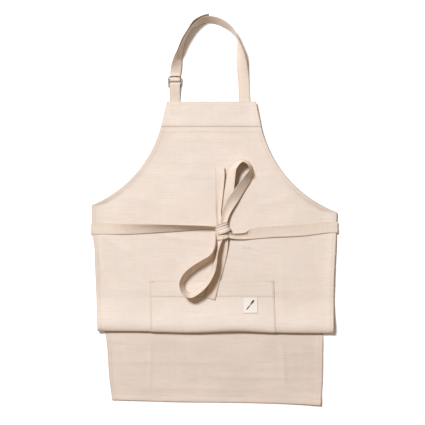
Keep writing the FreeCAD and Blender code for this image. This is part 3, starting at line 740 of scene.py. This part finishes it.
def pocket():
    """The patch: over the front, round the puffy fold and on under it."""
    levels = [0, 0.9, 2.5, 6, 14, 24, 32, POCKET_HEM - 4, POCKET_HEM - 2.4, POCKET_HEM - 1.2, POCKET_HEM,
              POCKET_HEM + 1.4, POCKET_HEM + 4, 52, 62, 72, 82, 92, 102, 111, 119]
    middle, uv, thick, wear = [], [], [], []

    def row(y_of, z_of, t):
        left, right = pocket_side(min(t, 150), -1), pocket_side(min(t, 150), 1)
        x = np.concatenate([[left, left + 0.9, left + 2.2, left + 3, left + 3.8, left + 6],
                            np.linspace(left + 10, right - 10, 76),
                            [right - 6, right - 3.8, right - 3, right - 2.2, right - 0.9, right]])
        y = y_of(x)
        z = z_of(x, y)
        middle.append(np.stack(np.broadcast_arrays(x, y, z), -1))
        uv.append(np.stack([x * 1.0, np.full_like(x, -t) - 700], -1))
        edge = np.minimum(x - left, right - x)
        hem = 0.35 * (1 - float(step(POCKET_HEM - 0.6, POCKET_HEM + 0.8, t)))
        groove = 0.3 * float(bump(t, POCKET_HEM - 1.2, 0.9)) + 0.3 * bump(edge, 3, 0.8)
        thick.append(1.0 + hem - groove)
        # Wear at the pocket's edges and mouth, and a painted shadow line under the hem's fold
        wear.append(np.clip(0.7 * bump(edge, 0, 1.8) + 0.6 * bump(t, 0, 2) + 0.8 * bump(t, POCKET_HEM, 1.3)
                            + 0.35 * bump(edge, 3, 0.8), 0, 1))

    for t in levels:
        row(lambda x: pocket_line(x, t), front_height, t)
    row(lambda x: fold_line(x) + NOSE + 3, front_height, POCKET_DEPTH - NOSE)
    for angle in np.linspace(80, 8, 8):
        d = nose_distance(angle)
        row(lambda x: fold_line(x) + d, front_height, POCKET_DEPTH - d * 0.6)
    row(fold_line, lambda x, y: NOSE_LEVEL, POCKET_DEPTH + 1)
    for depth in NOSE_DEPTHS + [14, 22, 30, 38, 46]:
        row(lambda x: fold_line(x) + depth, lambda x, y: hidden_height(depth), POCKET_DEPTH + 5 + depth)
    grid = np.array(middle)
    n = normals_of(grid)
    if n[0, 40, 2] < 0:
        n = -n
    grid = grid + n * POCKET_REACH
    grid[..., 2] += pocket_relief(grid[..., 0], grid[..., 1])
    return add_object("pocket", *sheet_shell(grid, uv, thick, wear))


def pocket_top_height(x, y):
    return front_height(x, y) + pocket_relief(x, y)


def close_at_ends(size, count):
    """Places from 0 to a size, closer together at both ends."""
    return np.concatenate([[0, 0.6, 2], np.linspace(4, size - 4, count), [size - 2, size - 0.6, size]])


def woven_label():
    left, width, top, height = LABEL
    gx, gy = np.meshgrid(left + close_at_ends(width, 16), top - close_at_ends(height, 18))
    gz = pocket_top_height(gx, gy) + POCKET_REACH + 0.5 + 0.42
    gz = gz + 0.35 * bump(gy, top - height / 2, 14) * bump(gx, left + width / 2, 14)
    gz = gz + 0.9 * step(top - height + 3, top - height, gy) + 0.5 * step(left + width - 3, left + width, gx)
    uv = np.stack([gx - left, gy - top], -1)
    edge = np.minimum(np.minimum(gx - left, left + width - gx), np.minimum(top - gy, gy - top + height))
    shell = sheet_shell(np.stack([gx, gy, gz], -1), uv, 0.5, 0.8 * bump(edge, 0, 1.0))
    return add_object("woven_label", *shell)


# ---- stitches

def stitch_shape(sides=6, rings=5):
    """One stitch of unit length along X: a bent round thread that dives in at both ends."""
    verts, faces = [], []
    for i in range(rings):
        s = i / (rings - 1)
        arch = math.sin(math.pi * s)
        girth = 0.5 * (0.45 + 0.55 * math.sqrt(arch))
        for k in range(sides):
            a = 2 * math.pi * k / sides
            verts.append((s - 0.5, girth * math.cos(a), arch, girth * math.sin(a)))
    for i in range(rings - 1):
        for k in range(sides):
            a, b = i * sides + k, i * sides + (k + 1) % sides
            faces.append([a, b, b + sides, a + sides])
    faces.append(list(range(sides))[::-1])
    faces.append([(rings - 1) * sides + k for k in range(sides)])
    return np.array(verts), faces


STITCH_VERTS, STITCH_FACES = stitch_shape()


def lay_stitches(store, points, normals, length=2.5, gap=0.9, width=0.62, sink=0.1):
    """Stitches end to end along a line of surface points."""
    points, normals = np.asarray(points, float), np.asarray(normals, float)
    travel = travelled(points)
    count = int(travel[-1] // (length + gap))
    if count < 1:
        return
    pitch = travel[-1] / count
    for k in range(count):
        ends = (k * pitch + gap / 2, (k + 1) * pitch - gap / 2)
        a, b = [np.array([np.interp(e, travel, points[:, c]) for c in range(3)]) for e in ends]
        mid = (ends[0] + ends[1]) / 2
        up = np.array([np.interp(mid, travel, normals[:, c]) for c in range(3)])
        along = b - a
        size = np.linalg.norm(along)
        along = along / size
        side = np.cross(up, along)
        side /= np.linalg.norm(side)
        up = np.cross(along, side)
        centre = (a + b) / 2
        s, across, arch, high = STITCH_VERTS.T
        rise = arch * width * 0.45 - sink - 0.12
        verts = centre + np.outer(s * size, along) + np.outer(across * width, side)
        verts = verts + np.outer(high * width * 0.8 + rise, up)
        n = len(verts)
        store.add(verts, STITCH_FACES, np.zeros((n, 2)), np.zeros(n))


def front_line(plan, lift, height=None):
    """Points and normals on the front along a plan polyline, a lift off the layer's middle."""
    plan = np.asarray(plan, float)
    travel = travelled(plan)
    at = np.linspace(0, travel[-1], max(3, int(travel[-1] / 3)))
    x, y = np.interp(at, travel, plan[:, 0]), np.interp(at, travel, plan[:, 1])
    p, n = over_front(x, y, 0.0)
    if height is not None:
        p[:, 2] = height(x, y)
    return p + n * lift, n


def armhole_line(side, inset):
    hole = LEFT_ARMHOLE if side < 0 else RIGHT_ARMHOLE
    cx, cy, radius = circle_through(hole)
    ys = np.linspace(SEAM_Y - 17, hole[2][1] + 6, 60)
    r = radius + inset
    return np.stack([cx - side * np.sqrt(r * r - (ys - cy) ** 2), ys], -1)


def box_lines(cx, cy, w, h):
    a, b, c, d = (cx - w, cy - h), (cx + w, cy - h), (cx + w, cy + h), (cx - w, cy + h)
    return [[a, b], [b, c], [c, d], [d, a], [a, c], [b, d]]


ON_CLOTH, ON_TRIM, ON_POCKET = 0.5, 1.52, 1.62


def make_stitching():
    made = {}

    def new(name):
        made[name] = Gather()
        return made[name]

    bib = new("bib_stitching")
    for y, lift in ((BIB_TOP - 10, ON_TRIM), (SEAM_Y + 4, ON_TRIM), (SEAM_ROW, ON_CLOTH)):
        left, right = front_edges(y)
        lay_stitches(bib, *front_line([(left + 3, y), (right - 3, y)], lift))
    arm = new("armhole_stitching")
    for side in (-1, 1):
        lay_stitches(arm, *front_line(armhole_line(side, SIDE_HEM - HEM_STITCH), ON_CLOTH + 0.1))
    flank = new("side_stitching")
    for side in (-1, 1):
        ys = np.linspace(-68, FOLD_Y + 13, 40)
        xs = front_edge(ys, side) - side * (SIDE_HEM - HEM_STITCH)
        ys = ys + fold_pull(ys, xs)
        if side < 0:
            xs = xs + SIDE_DENT * bump(ys, DENT_Y, DENT_SPAN)
        lay_stitches(flank, *front_line(np.stack([xs, ys], -1), ON_CLOTH + 0.1))
    hem = new("bottom_hem_stitching")
    nominal = HEM_NOMINAL + BOTTOM_HEM - HEM_STITCH
    share = (FOLD_Y - nominal) / (FOLD_Y - HEM_NOMINAL)
    x = np.linspace(skirt_edge(share, -1) + 2.5, skirt_edge(share, 1) - 2.5, 120)
    y = skirt_line(nominal, share, x)
    z = skirt_height(x, y) + 0.62
    lay_stitches(hem, np.stack([x, y, z], -1), np.tile((0, 0, 1.0), (len(x), 1)))
    patch = new("pocket_stitching")
    for side in (-1, 1):
        t = np.linspace(3, 126, 40)
        px = pocket_side(t, side) - side * 3
        plan = np.stack([px, pocket_line(px, t)], -1)
        lay_stitches(patch, *front_line(plan, ON_POCKET, pocket_top_height))
    hem_y = POCKET_TOP - POCKET_HEM + 1.2
    plan = [(POCKET_LEFT + 6, hem_y), (POCKET_RIGHT - 6, hem_y)]
    lay_stitches(patch, *front_line(plan, ON_POCKET + 0.05, pocket_top_height))
    tacks = new("pocket_bartacks")
    for cx in (POCKET_LEFT + 8, POCKET_RIGHT - 8):
        for k in range(9):
            tx = cx - 3.6 + k * 0.9
            plan = [(tx, POCKET_TOP - 1.6), (tx, POCKET_TOP - 4.6)]
            line = front_line(plan, ON_POCKET + 0.2, pocket_top_height)
            lay_stitches(tacks, *line, length=2.4, gap=0.1, width=0.7)
    label = new("label_stitching")
    left, width, top, height = LABEL
    on_label = ON_POCKET + 0.55
    for y in (top - 1.8, top - height + 1.8):
        line = front_line([(left + 1.5, y), (left + width - 1.5, y)], on_label, pocket_top_height)
        lay_stitches(label, *line, length=1.8, gap=0.6, width=0.45)
    strap = new("strap_stitching")
    for cx in (STRAP_X, TAB_X):
        for line in box_lines(cx, BIB_TOP - 24, 10, 11):
            lay_stitches(strap, *front_line(line, ON_TRIM + 0.02), length=2.1)
    tie = new("tie_stitching")
    for (x, y), inward in ((TIE_LEFT, 1), (TIE_RIGHT, -1)):
        for line in box_lines(x + 20 * inward, y, 11, 10):
            p, n = front_line(line, 0.0)
            p[:, 2] -= 2.0
            lay_stitches(tie, p, -n, length=2.1)
    for name, store in made.items():
        obj = store.object(name)
        finish_piece(obj, SEWING, [name])
        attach(obj, APRON)


# ---- flat bands

# Where a band's edge stitches run, as a share of its half width
EDGE_ROW = 0.80


def smooth_rows(stations, sub):
    """Rows on a smooth curve through given stations."""
    s = np.array(stations, float)
    rows = []
    last = len(s) - 1
    for i in range(last):
        a, b, c, d = s[max(i - 1, 0)], s[i], s[i + 1], s[min(i + 2, last)]
        for k in range(sub):
            t = k / sub
            rows.append(b + 0.5 * t * (c - a + t * (2 * a - 5 * b + 4 * c - d + t * (3 * (b - c) + d - a))))
    rows.append(s[-1])
    return np.array(rows)


def across_band(cols):
    """Places across a band from -1 to 1, a little closer together at its edges."""
    v = np.linspace(-1, 1, cols)
    return np.sign(v) * np.abs(v) ** 0.85


def band_surface(stations, sub=6, cols=13, seed=0, rough=0.25, pleat=0.0):
    """Middle surface of a flat band: x, y, z, bearing and lean of its width, width, curl across it."""
    rows = smooth_rows(stations, sub)
    centre = rows[:, :3]
    along = np.gradient(centre, axis=0)
    along /= np.linalg.norm(along, axis=1, keepdims=True)
    bearing, lean = np.radians(rows[:, 3]), np.radians(rows[:, 4])
    across = np.stack([np.cos(bearing) * np.cos(lean), np.sin(bearing) * np.cos(lean), np.sin(lean)], -1)
    across -= along * (across * along).sum(1, keepdims=True)
    across /= np.linalg.norm(across, axis=1, keepdims=True)
    normal = np.cross(along, across)
    travel = travelled(centre)
    v = across_band(cols)
    half = rows[:, 5:6] / 2
    s_grid, v_grid = np.meshgrid(travel, v, indexing="ij")
    ripple = rough * relief(s_grid, v_grid * 14, (26, 11), 50 + seed)
    ripple = ripple + 0.5 * rough * relief(s_grid, v_grid * 14, (9, 6), 60 + seed)
    drift = 1.6 * relief(s_grid, v_grid * 0, (30, 5), 70 + seed)
    ripple = ripple + pleat * np.sin(v_grid * 10.5 + drift + seed)
    ripple = ripple + 0.5 * pleat * np.sin(v_grid * 19 - drift)
    bow = rows[:, 6:7] * half * (v_grid ** 2 - 0.33)
    squeeze = 1 - 0.12 * np.abs(rows[:, 6:7])
    grid = centre[:, None] + across[:, None] * (v_grid * half * squeeze)[..., None]
    grid = grid + normal[:, None] * (bow + ripple)[..., None]
    uv = np.stack([v_grid * 14 + 40 * seed, s_grid], -1)
    wear = np.broadcast_to(0.75 * bump(np.abs(v), 1, 0.10), grid.shape[:2])
    return grid, uv, wear


def band_shell(stations, thickness=BAND, **options):
    grid, uv, wear = band_surface(stations, **options)
    v = np.linspace(-1, 1, grid.shape[1])
    profile = thickness * (1 - 0.18 * bump(np.abs(v), EDGE_ROW, 0.08))
    return sheet_shell(grid, uv, np.broadcast_to(profile, grid.shape[:2]), wear, rounding=0.45)


def band_stitches(store, stations, **options):
    """A row of stitches along one edge of a band, on both its faces."""
    grid = band_surface(stations, **options)[0]
    n = normals_of(grid)
    v = across_band(grid.shape[1])
    line = np.array([[np.interp(EDGE_ROW, v, row[:, c]) for c in range(3)] for row in grid])
    for face in (1, -1):
        up = np.array([[np.interp(EDGE_ROW, v, row[:, c]) for c in range(3)] for row in n]) * face
        up /= np.linalg.norm(up, axis=1, keepdims=True)
        lay_stitches(store, line + up * BAND * 0.42, up, length=2.6, gap=1.0, width=0.55)


def back_tie_end(place, bearing, outward):
    """Stations of a tie's sewn end and its half turn round the side edge."""
    x, y = place
    level = float(front_height(np.array(x + outward * -6), np.array(y)))
    reach = CLOTH / 2 + 0.35 + BAND / 2
    low = max(level - reach, 0.8)
    rows = [(x - outward * SEWN_LENGTH * share, y, low, bearing, 0, BAND_WIDTH, 0) for share in (1, 0.5)]
    mid, radius = (low + level + reach) / 2, (level + reach - low) / 2
    for k in range(5):
        a = math.radians(-90 + 45 * k)
        out = x + outward * (0.2 + radius * 0.9 * math.cos(a))
        rows.append((out, y, mid + radius * math.sin(a), bearing, 0, BAND_WIDTH, 0))
    return rows


# Stations of the bands: x, y, z, bearing and lean of the width, width, curl. In the two runs of the
# waist ties z is the height above the cloth.
NECK_RUN = [
    (79, 250, 1.9, 0, 0, 29, 0), (79, 268, 1.9, 0, 0, 29, 0), (79, 284, 1.9, 0, 0, 29, 0),
    (78.5, 304, 1.2, 0, 0, 29, 0), (76.5, 344, 1.8, 2, 3, 29, 0.03), (73, 374, 5.0, 4, 14, 29, 0.06),
    (69.5, 400, 9.0, 7, 32, 29, 0.08), (66, 424, 13.1, 12, 58, 28.5, 0.05),
    (60.5, 450, 14.8, 20, 84, 28, 0), (46, 474, 14.4, 42, 72, 28, 0.03),
    (25, 490, 13.4, 56, 62, 28, 0.05), (2, 500, 13.2, 70, 58, 28, 0.05),
    (-24, 502, 13.4, 88, 60, 28, 0.04), (-46, 491, 14.2, 116, 70, 28, 0.02),
    (-66, 473, 14.8, 146, 82, 28, 0), (-80.5, 447, 14.8, 166, 80, 28, 0),
    (-88.5, 420, 14.2, 174, 68, 28, 0.03), (-96.5, 394, 9.9, 178, 38, 28, 0.04),
    (-102, 374, 3.4, 180, 9, 28, 0), (-104.3, 359, 1.2, 180, 0, 27, 0), (-105, 349, 1.0, 180, 0, 26, 0),
]
NECK_FOLD = [
    (-105, 342.4, 1.2, 180, 0, 26, 0), (-105, 340.5, 2.9, 180, 0, 26, 0),
    (-105, 340.8, 4.9, 180, 0, 26, 0), (-105, 342.7, 6.35, 180, 0, 26, 0),
    (-105, 345.3, 6.7, 180, 0, 26, 0), (-105, 348.3, 5.9, 180, 0, 26, 0),
    (-105, 351.6, 4.7, 180, 0, 26, 0), (-105, 354.2, 4.1, 180, 0, 26, 0),
    (-104.6, 357.5, 3.9, 180, 0, 26.5, 0),
]
NECK_TAIL = [
    (-103.5, 364, 4.1, 180, 0, 27, 0), (-101.5, 378, 7.6, 180, 12, 28, -0.04),
    (-98.5, 398, 13.4, 180, 40, 28, -0.04), (-92.5, 422, 15.5, 174, 68, 28, 0),
    (-84.5, 449, 15.2, 164, 80, 28, 0), (-69, 475.5, 15.2, 146, 82, 28, 0),
    (-55, 496, 15.0, 124, 80, 28, 0), (-34, 507.5, 15.0, 112, 76, 28, 0),
    (-15, 512.5, 14.8, 104, 74, 28, 0),
]
LEFT_RUN = [
    (-300, -50.0, 0, 90, 0, 28, 0), (-262, -50.5, 0.9, 90, 6, 28, 0.05),
    (-231, -50.5, 1.6, 90, 15, 28, 0.08), (-190, -49.5, 2.4, 90, 27, 28, 0.10),
    (-146, -48, 3.4, 90, 39, 27.5, 0.12), (-95, -47, 4.2, 90, 50, 26, 0.14),
    (-45, -45.5, 4.6, 90, 60, 23, 0.16), (-8, -46.5, 4.6, 90, 62, 18.5, 0.2),
    (8, -50, 4.4, 90, 50, 14, 0.3),
]
LOWER_LOOP = [
    (9, -58, 10.4, 0, -6, 14, 0.4), (4.5, -82, 13.0, -10, -58, 18, 0.35),
    (-2, -105, 16.4, -25, -76, 23, 0.2), (-12, -123, 17.8, -48, -70, 26, 0.1),
    (-32, -137.5, 18.6, -56, -64, 28, 0.05), (-56, -153, 18.8, -54, -62, 28, 0.05),
    (-76, -170.5, 18.8, -42, -62, 28, 0.04), (-87, -193, 19.2, 0, -62, 28, 0.03),
    (-82, -214, 19.4, 40, -64, 28, 0.03), (-67, -225.5, 19.5, 88, -66, 28, 0.03),
    (-50, -220, 19.6, 122, -68, 28, 0.03), (-23.5, -197.5, 19.6, 140, -70, 28, 0.04),
    (-5, -166, 19.0, 162, -70, 28, 0.06), (3, -140, 18.4, 175, -74, 26, 0.15),
    (7, -116, 17.4, 178, -76, 23, 0.25), (12, -94, 17, 174, -66, 19, 0.35),
    (16, -70, 15.5, 179, -14, 15, 0.45),
]
UPPER_TAIL = [
    (15, -72, 12.5, 180, 0, 14, 0.4), (12, -34, 11, 180, -4, 14, 0.45), (10, -6, 7.8, 180, -8, 15, 0.45),
    (11.5, 24, 7.4, 180, -10, 18, 0.3), (13.3, 60, 8.1, 180, -12, 22, 0.16),
    (14.5, 90, 8.9, 181, -15, 24.5, 0.08), (13, 112, 8.2, 182, -11, 24, 0.03),
]
RIGHT_RUN = [
    (300, -46.5, 0, -90, 0, 28, 0), (268, -50, 0.2, -90, 0, 28.5, 0.02),
    (239, -53.5, 0.4, -90, 0, 29, 0.03), (196, -56, 0.5, -90, 0, 29, 0.03),
    (154, -58, 0.6, -90, 0, 28.5, 0.05), (118, -61, 0.8, -90, -2, 28, 0.06),
    (98, -63.5, 1.3, -90, -4, 27, 0.08), (90, -65.5, 1.8, -90, -8, 24, 0.2),
    (82, -67.5, 2.6, -90, -16, 20, 0.42), (62, -68.5, 4.2, -90, -20, 17.5, 0.5),
    (44, -67.5, 6.2, -90, -14, 15, 0.5), (24, -62, 7.6, -90, 0, 14, 0.5),
]
UPPER_LOOP = [
    (20, -46, 9.5, -180, 180, 14, -0.4), (22, -30, 8.0, -180, 178, 17, -0.35),
    (27, -4, 7.2, -181, 177, 22, -0.22), (31, 14, 7.4, -182, 175, 25, -0.12),
    (34, 30, 8.4, -183, 171, 27, -0.06), (37.5, 48, 11.2, -184, 159, 28, -0.03),
    (40.5, 72, 13.8, -186, 149, 28, 0), (44, 93, 15.2, -190, 141, 28, 0),
    (52, 114, 18.4, -212, 121, 28, 0), (72, 130, 19.6, -268, 106, 28, 0),
    (90, 121, 19.8, -320, 106, 28, 0), (95.5, 104, 19.2, -362, 113, 28, 0),
    (85, 81, 16.4, -392, 138, 28, 0), (72, 62, 15.0, -394, 147, 28, 0),
    (58.5, 42, 14.2, -394, 153, 28, -0.05), (48, 26, 13.0, -392, 165, 27, -0.1),
    (38, 9, 11.8, -384, 174, 24, -0.18), (29, -12, 12.0, -372, 178, 20, -0.3),
    (23, -38, 14.5, -362, 180, 16, -0.4),
]
LOWER_TAIL = [
    (25, -68, 11.5, 0, 0, 18, 0.45), (23.5, -88, 8.8, 2, -3, 24, 0.25),
    (17.5, -122, 7.0, 8, -5, 27, 0.12), (9, -155, 6.6, 12, -4, 28, 0.06),
    (-1, -188, 7.0, 14, -2, 28, 0.03), (-13.5, -234.5, 6.9, 12, 0, 28, 0.02),
]


KNOT_X, KNOT_LEVEL = 19.5, 8.5
# Level of the front's upper face in the CAD, which the bow's stations were set over
CAD_FRONT_TOP = 4.5
RUN_CLEAR = 1.4


def lie_on_front(stations):
    """Run stations carry a height above the cloth, and this sets their level."""
    rows = []
    for x, y, z, bearing, lean, width, curl in stations:
        lean_rise = abs(math.sin(math.radians(lean))) * width / 2
        level = float(front_height(np.array(float(x)), np.array(float(y))))
        rows.append((x, y, level + RUN_CLEAR + max(z, lean_rise), bearing, lean, width, curl))
    return rows


def knot_turn(centre_y, width, slope, girth, height):
    """One visible turn of the bow's knot: it comes up on the left, crosses the front and goes down."""
    rows = []
    bearing = 90 + math.degrees(math.atan(slope))
    for k in range(11):
        a = math.radians(205 - 23 * k)
        x = KNOT_X - girth * math.cos(a)
        y = centre_y + slope * (x - KNOT_X)
        waist = width * (1 - 0.16 * math.cos(a) ** 2)
        rows.append((x, y, KNOT_LEVEL + height * math.sin(a), bearing, 0, waist, -0.28))
    return rows


def settle(stations):
    """Stations set over a flat front, moved onto the front as it really lies."""
    rows = []
    for row in stations:
        x, y, z, bearing, lean, width = row[:6]
        reach = width / 2 * abs(math.cos(math.radians(lean)))
        across = np.linspace(-reach, reach, 5)
        px = x + across * math.cos(math.radians(bearing))
        py = y + across * math.sin(math.radians(bearing))
        rise = float(np.max(front_height(px, py))) + CLOTH / 2 - CAD_FRONT_TOP
        if y < POCKET_TOP + 12:
            rise += 0.45
        rows.append((x, y, z + float(np.clip(rise, -1.2, 1.5)), bearing, lean, *row[5:]))
    return rows


def tie_piece(name, parts):
    """A waist tie made of several lengths of band, and a second piece with its edge stitches."""
    store, sewn = Gather(), Gather()
    for seed, (stations, options) in enumerate(parts):
        options = dict(options, seed=seed + (3 if "left" in name else 8))
        store.add(*band_shell(stations, **options))
        if "pleat" not in options:  # the knot's pleated turns have no edge in sight
            band_stitches(sewn, stations, **options)
    obj = finish_piece(store.object(name), WEBBING, [name])
    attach(obj, APRON)
    seam = finish_piece(sewn.object(name + "_edge_stitches"), SEWING)
    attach(seam, APRON)
    return obj


def waist_ties():
    left_run = back_tie_end(TIE_LEFT, 90, -1) + lie_on_front(LEFT_RUN)
    right_run = back_tie_end(TIE_RIGHT, -90, 1) + lie_on_front(RIGHT_RUN)
    wrap = dict(rough=0.35, cols=25, sub=5, pleat=0.62)
    turns = [(knot_turn(-48.5, 27, 0.34, 17.5, 12.2), wrap), (knot_turn(-67.0, 21, 0.20, 16.5, 9.8), wrap)]
    left = tie_piece("waist_tie_left", [(left_run, {}), (settle(LOWER_LOOP), {}), (settle(UPPER_TAIL), {})])
    right_parts = [(right_run, {}), (settle(UPPER_LOOP), {}), (settle(LOWER_TAIL), {}), *turns]
    right = tie_piece("waist_tie_right", right_parts)


def neck_strap():
    stations, options = NECK_RUN + NECK_FOLD + NECK_TAIL, dict(sub=5, cols=11, seed=15, rough=0.18)
    shell = band_shell(stations, **options)
    shell[0][:, 2] = np.maximum(shell[0][:, 2], TABLE_GAP)
    obj = add_object("neck_strap", *shell)
    finish_piece(obj, WEBBING, ["neck_strap"])
    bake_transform(obj)
    sewn = Gather()
    band_stitches(sewn, stations, **options)
    seam = finish_piece(sewn.object("neck_strap_edge_stitches"), SEWING)
    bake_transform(seam)


def ring_tab():
    """A doubled band whose fold holds both straight bars."""
    places = [(252, 1.2), (270, 1.2), (300, 1.0)]
    for k in range(9):
        a = math.radians(-90 + 22.5 * k)
        places.append((331.85 + 3.65 * math.cos(a), 4.25 + 3.65 * math.sin(a)))
    places += [(316, 6.0), (300, 3.4), (286, 2.35), (252, 2.35)]
    rows = [(TAB_X, y, z, 180, 0, TAB_WIDTH, 0) for y, z in places]
    obj = add_object("ring_tab", *band_shell(rows, thickness=0.95, sub=4, cols=11, seed=21, rough=0.10))
    finish_piece(obj, WEBBING, ["ring_tab"])
    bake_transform(obj)


# ---- label motif

BRUSH_TILT = math.radians(52)
BRUSH_LENGTH, HANDLE_END, TIP_START = 33.0, 17.0, 22.0


def brush_half_width(t):
    """Half the brush's width at a distance from the handle's end: handle, ferrule, then bristles."""
    if t < HANDLE_END:
        return 0.9 + 1.5 * math.sin(math.pi * t / HANDLE_END)
    if t < TIP_START:
        return 3.0
    return 4.2 * math.sqrt(max(1 - ((t - TIP_START) / (BRUSH_LENGTH - TIP_START)) ** 2, 0.02))


def label_motif():
    """A slanted paintbrush in dark satin stitch, with a gap at each end of its ferrule and no lettering."""
    left, width, top, height = LABEL
    along = np.array((math.cos(BRUSH_TILT), math.sin(BRUSH_TILT)))
    across = np.array((-along[1], along[0]))
    start = np.array((left + width / 2, top - height / 2)) - along * BRUSH_LENGTH / 2
    store = Gather()
    for t in np.arange(0, BRUSH_LENGTH, 0.5):
        if abs(t - HANDLE_END) < 0.5 or abs(t - TIP_START) < 0.5:
            continue
        middle, reach = start + along * t, across * brush_half_width(t)
        a, b = middle - reach, middle + reach
        line = front_line([tuple(a), tuple(b)], ON_POCKET + 0.56, pocket_top_height)
        lay_stitches(store, *line, length=max(math.dist(a, b) * 0.98, 0.5), gap=0.02, width=1.0)
    obj = finish_piece(store.object("label_motif"), MOTIF)
    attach(obj, APRON)


# ---- the whole

def make_apron():
    panel = finish_piece(body_panel(), CANVAS, ["body_panel"])
    facing = finish_piece(bib_facing(), CANVAS_TRIM, ["bib_facing"])
    tapes = [finish_piece(armhole_tape(side), TAPE, [name])
             for side, name in ((-1, "armhole_tape_left"), (1, "armhole_tape_right"))]
    patch = finish_piece(pocket(), CANVAS_TRIM, ["pocket"])
    label = finish_piece(woven_label(), LABEL_CLOTH, ["woven_label"])
    for obj in (panel, facing, *tapes, patch, label):
        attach(obj, APRON)
    label_motif()
    make_stitching()
    waist_ties()
    neck_strap()
    ring_tab()
    for name in ("d_ring_front", "d_ring_back"):
        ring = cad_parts[name]
        for k in range(len(ring.material_slots)):
            ring.material_slots[k].material = STEEL


# The light: a broad soft key from the upper left over a warm fill.
KEY_PLACE = (-2.6, 3.25, 5.0)
KEY_SIZE = 1.5
KEY_POWER = 562
KEY_COLOUR = (0.91, 1.0, 1.11)
FILL_COLOUR = (1.0, 0.79, 0.60)
FILL_POWER = 0.355
FLOOR_HALF = 40.0
# The camera looks straight down, and this is the width it takes in on the table
CAMERA_HEIGHT, VIEW_WIDTH, SENSOR = 3.4, 1.126, 36
CAMERA_OFFSET = (-0.006, -0.0066)


def stage():
    mesh = bpy.data.meshes.new("floor")
    corners = [(x * FLOOR_HALF, y * FLOOR_HALF, 0) for x, y in ((-1, -1), (1, -1), (1, 1), (-1, 1))]
    mesh.from_pydata(corners, [], [[0, 1, 2, 3]])
    floor = bpy.data.objects.new("floor", mesh)
    bpy.context.scene.collection.objects.link(floor)
    g = Graph("floor")
    g.set(Base_Color=(*FLOOR_COLOUR, 1), Roughness=0.9, Specular_IOR_Level=0.0)
    mesh.materials.append(g.material)


def key_light():
    data = bpy.data.lights.new("key", "AREA")
    data.shape, data.size, data.energy = "DISK", KEY_SIZE, KEY_POWER
    data.color = KEY_COLOUR
    lamp = bpy.data.objects.new("key", data)
    lamp.location = KEY_PLACE
    x, y, z = KEY_PLACE
    lamp.rotation_euler = (math.atan2(math.hypot(x, y), z), 0, math.atan2(-y, -x) - math.pi / 2)
    bpy.context.scene.collection.objects.link(lamp)


def light_and_camera():
    scene = bpy.context.scene
    scene.view_settings.view_transform = "Standard"
    world = bpy.data.worlds.new("studio")
    world.use_nodes = True
    fill = world.node_tree.nodes["Background"].inputs
    fill["Color"].default_value = (*FILL_COLOUR, 1)
    fill["Strength"].default_value = FILL_POWER
    scene.world = world
    key_light()
    camera = bpy.data.cameras.new("camera")
    camera.sensor_width = SENSOR
    camera.lens = SENSOR * CAMERA_HEIGHT / VIEW_WIDTH
    camera.clip_end = 50
    obj = bpy.data.objects.new("camera", camera)
    obj.location = (*(DESIGN[:2] * MM + CAMERA_OFFSET), CAMERA_HEIGHT)
    scene.collection.objects.link(obj)
    scene.camera = obj


light_and_camera()
stage()
make_apron()
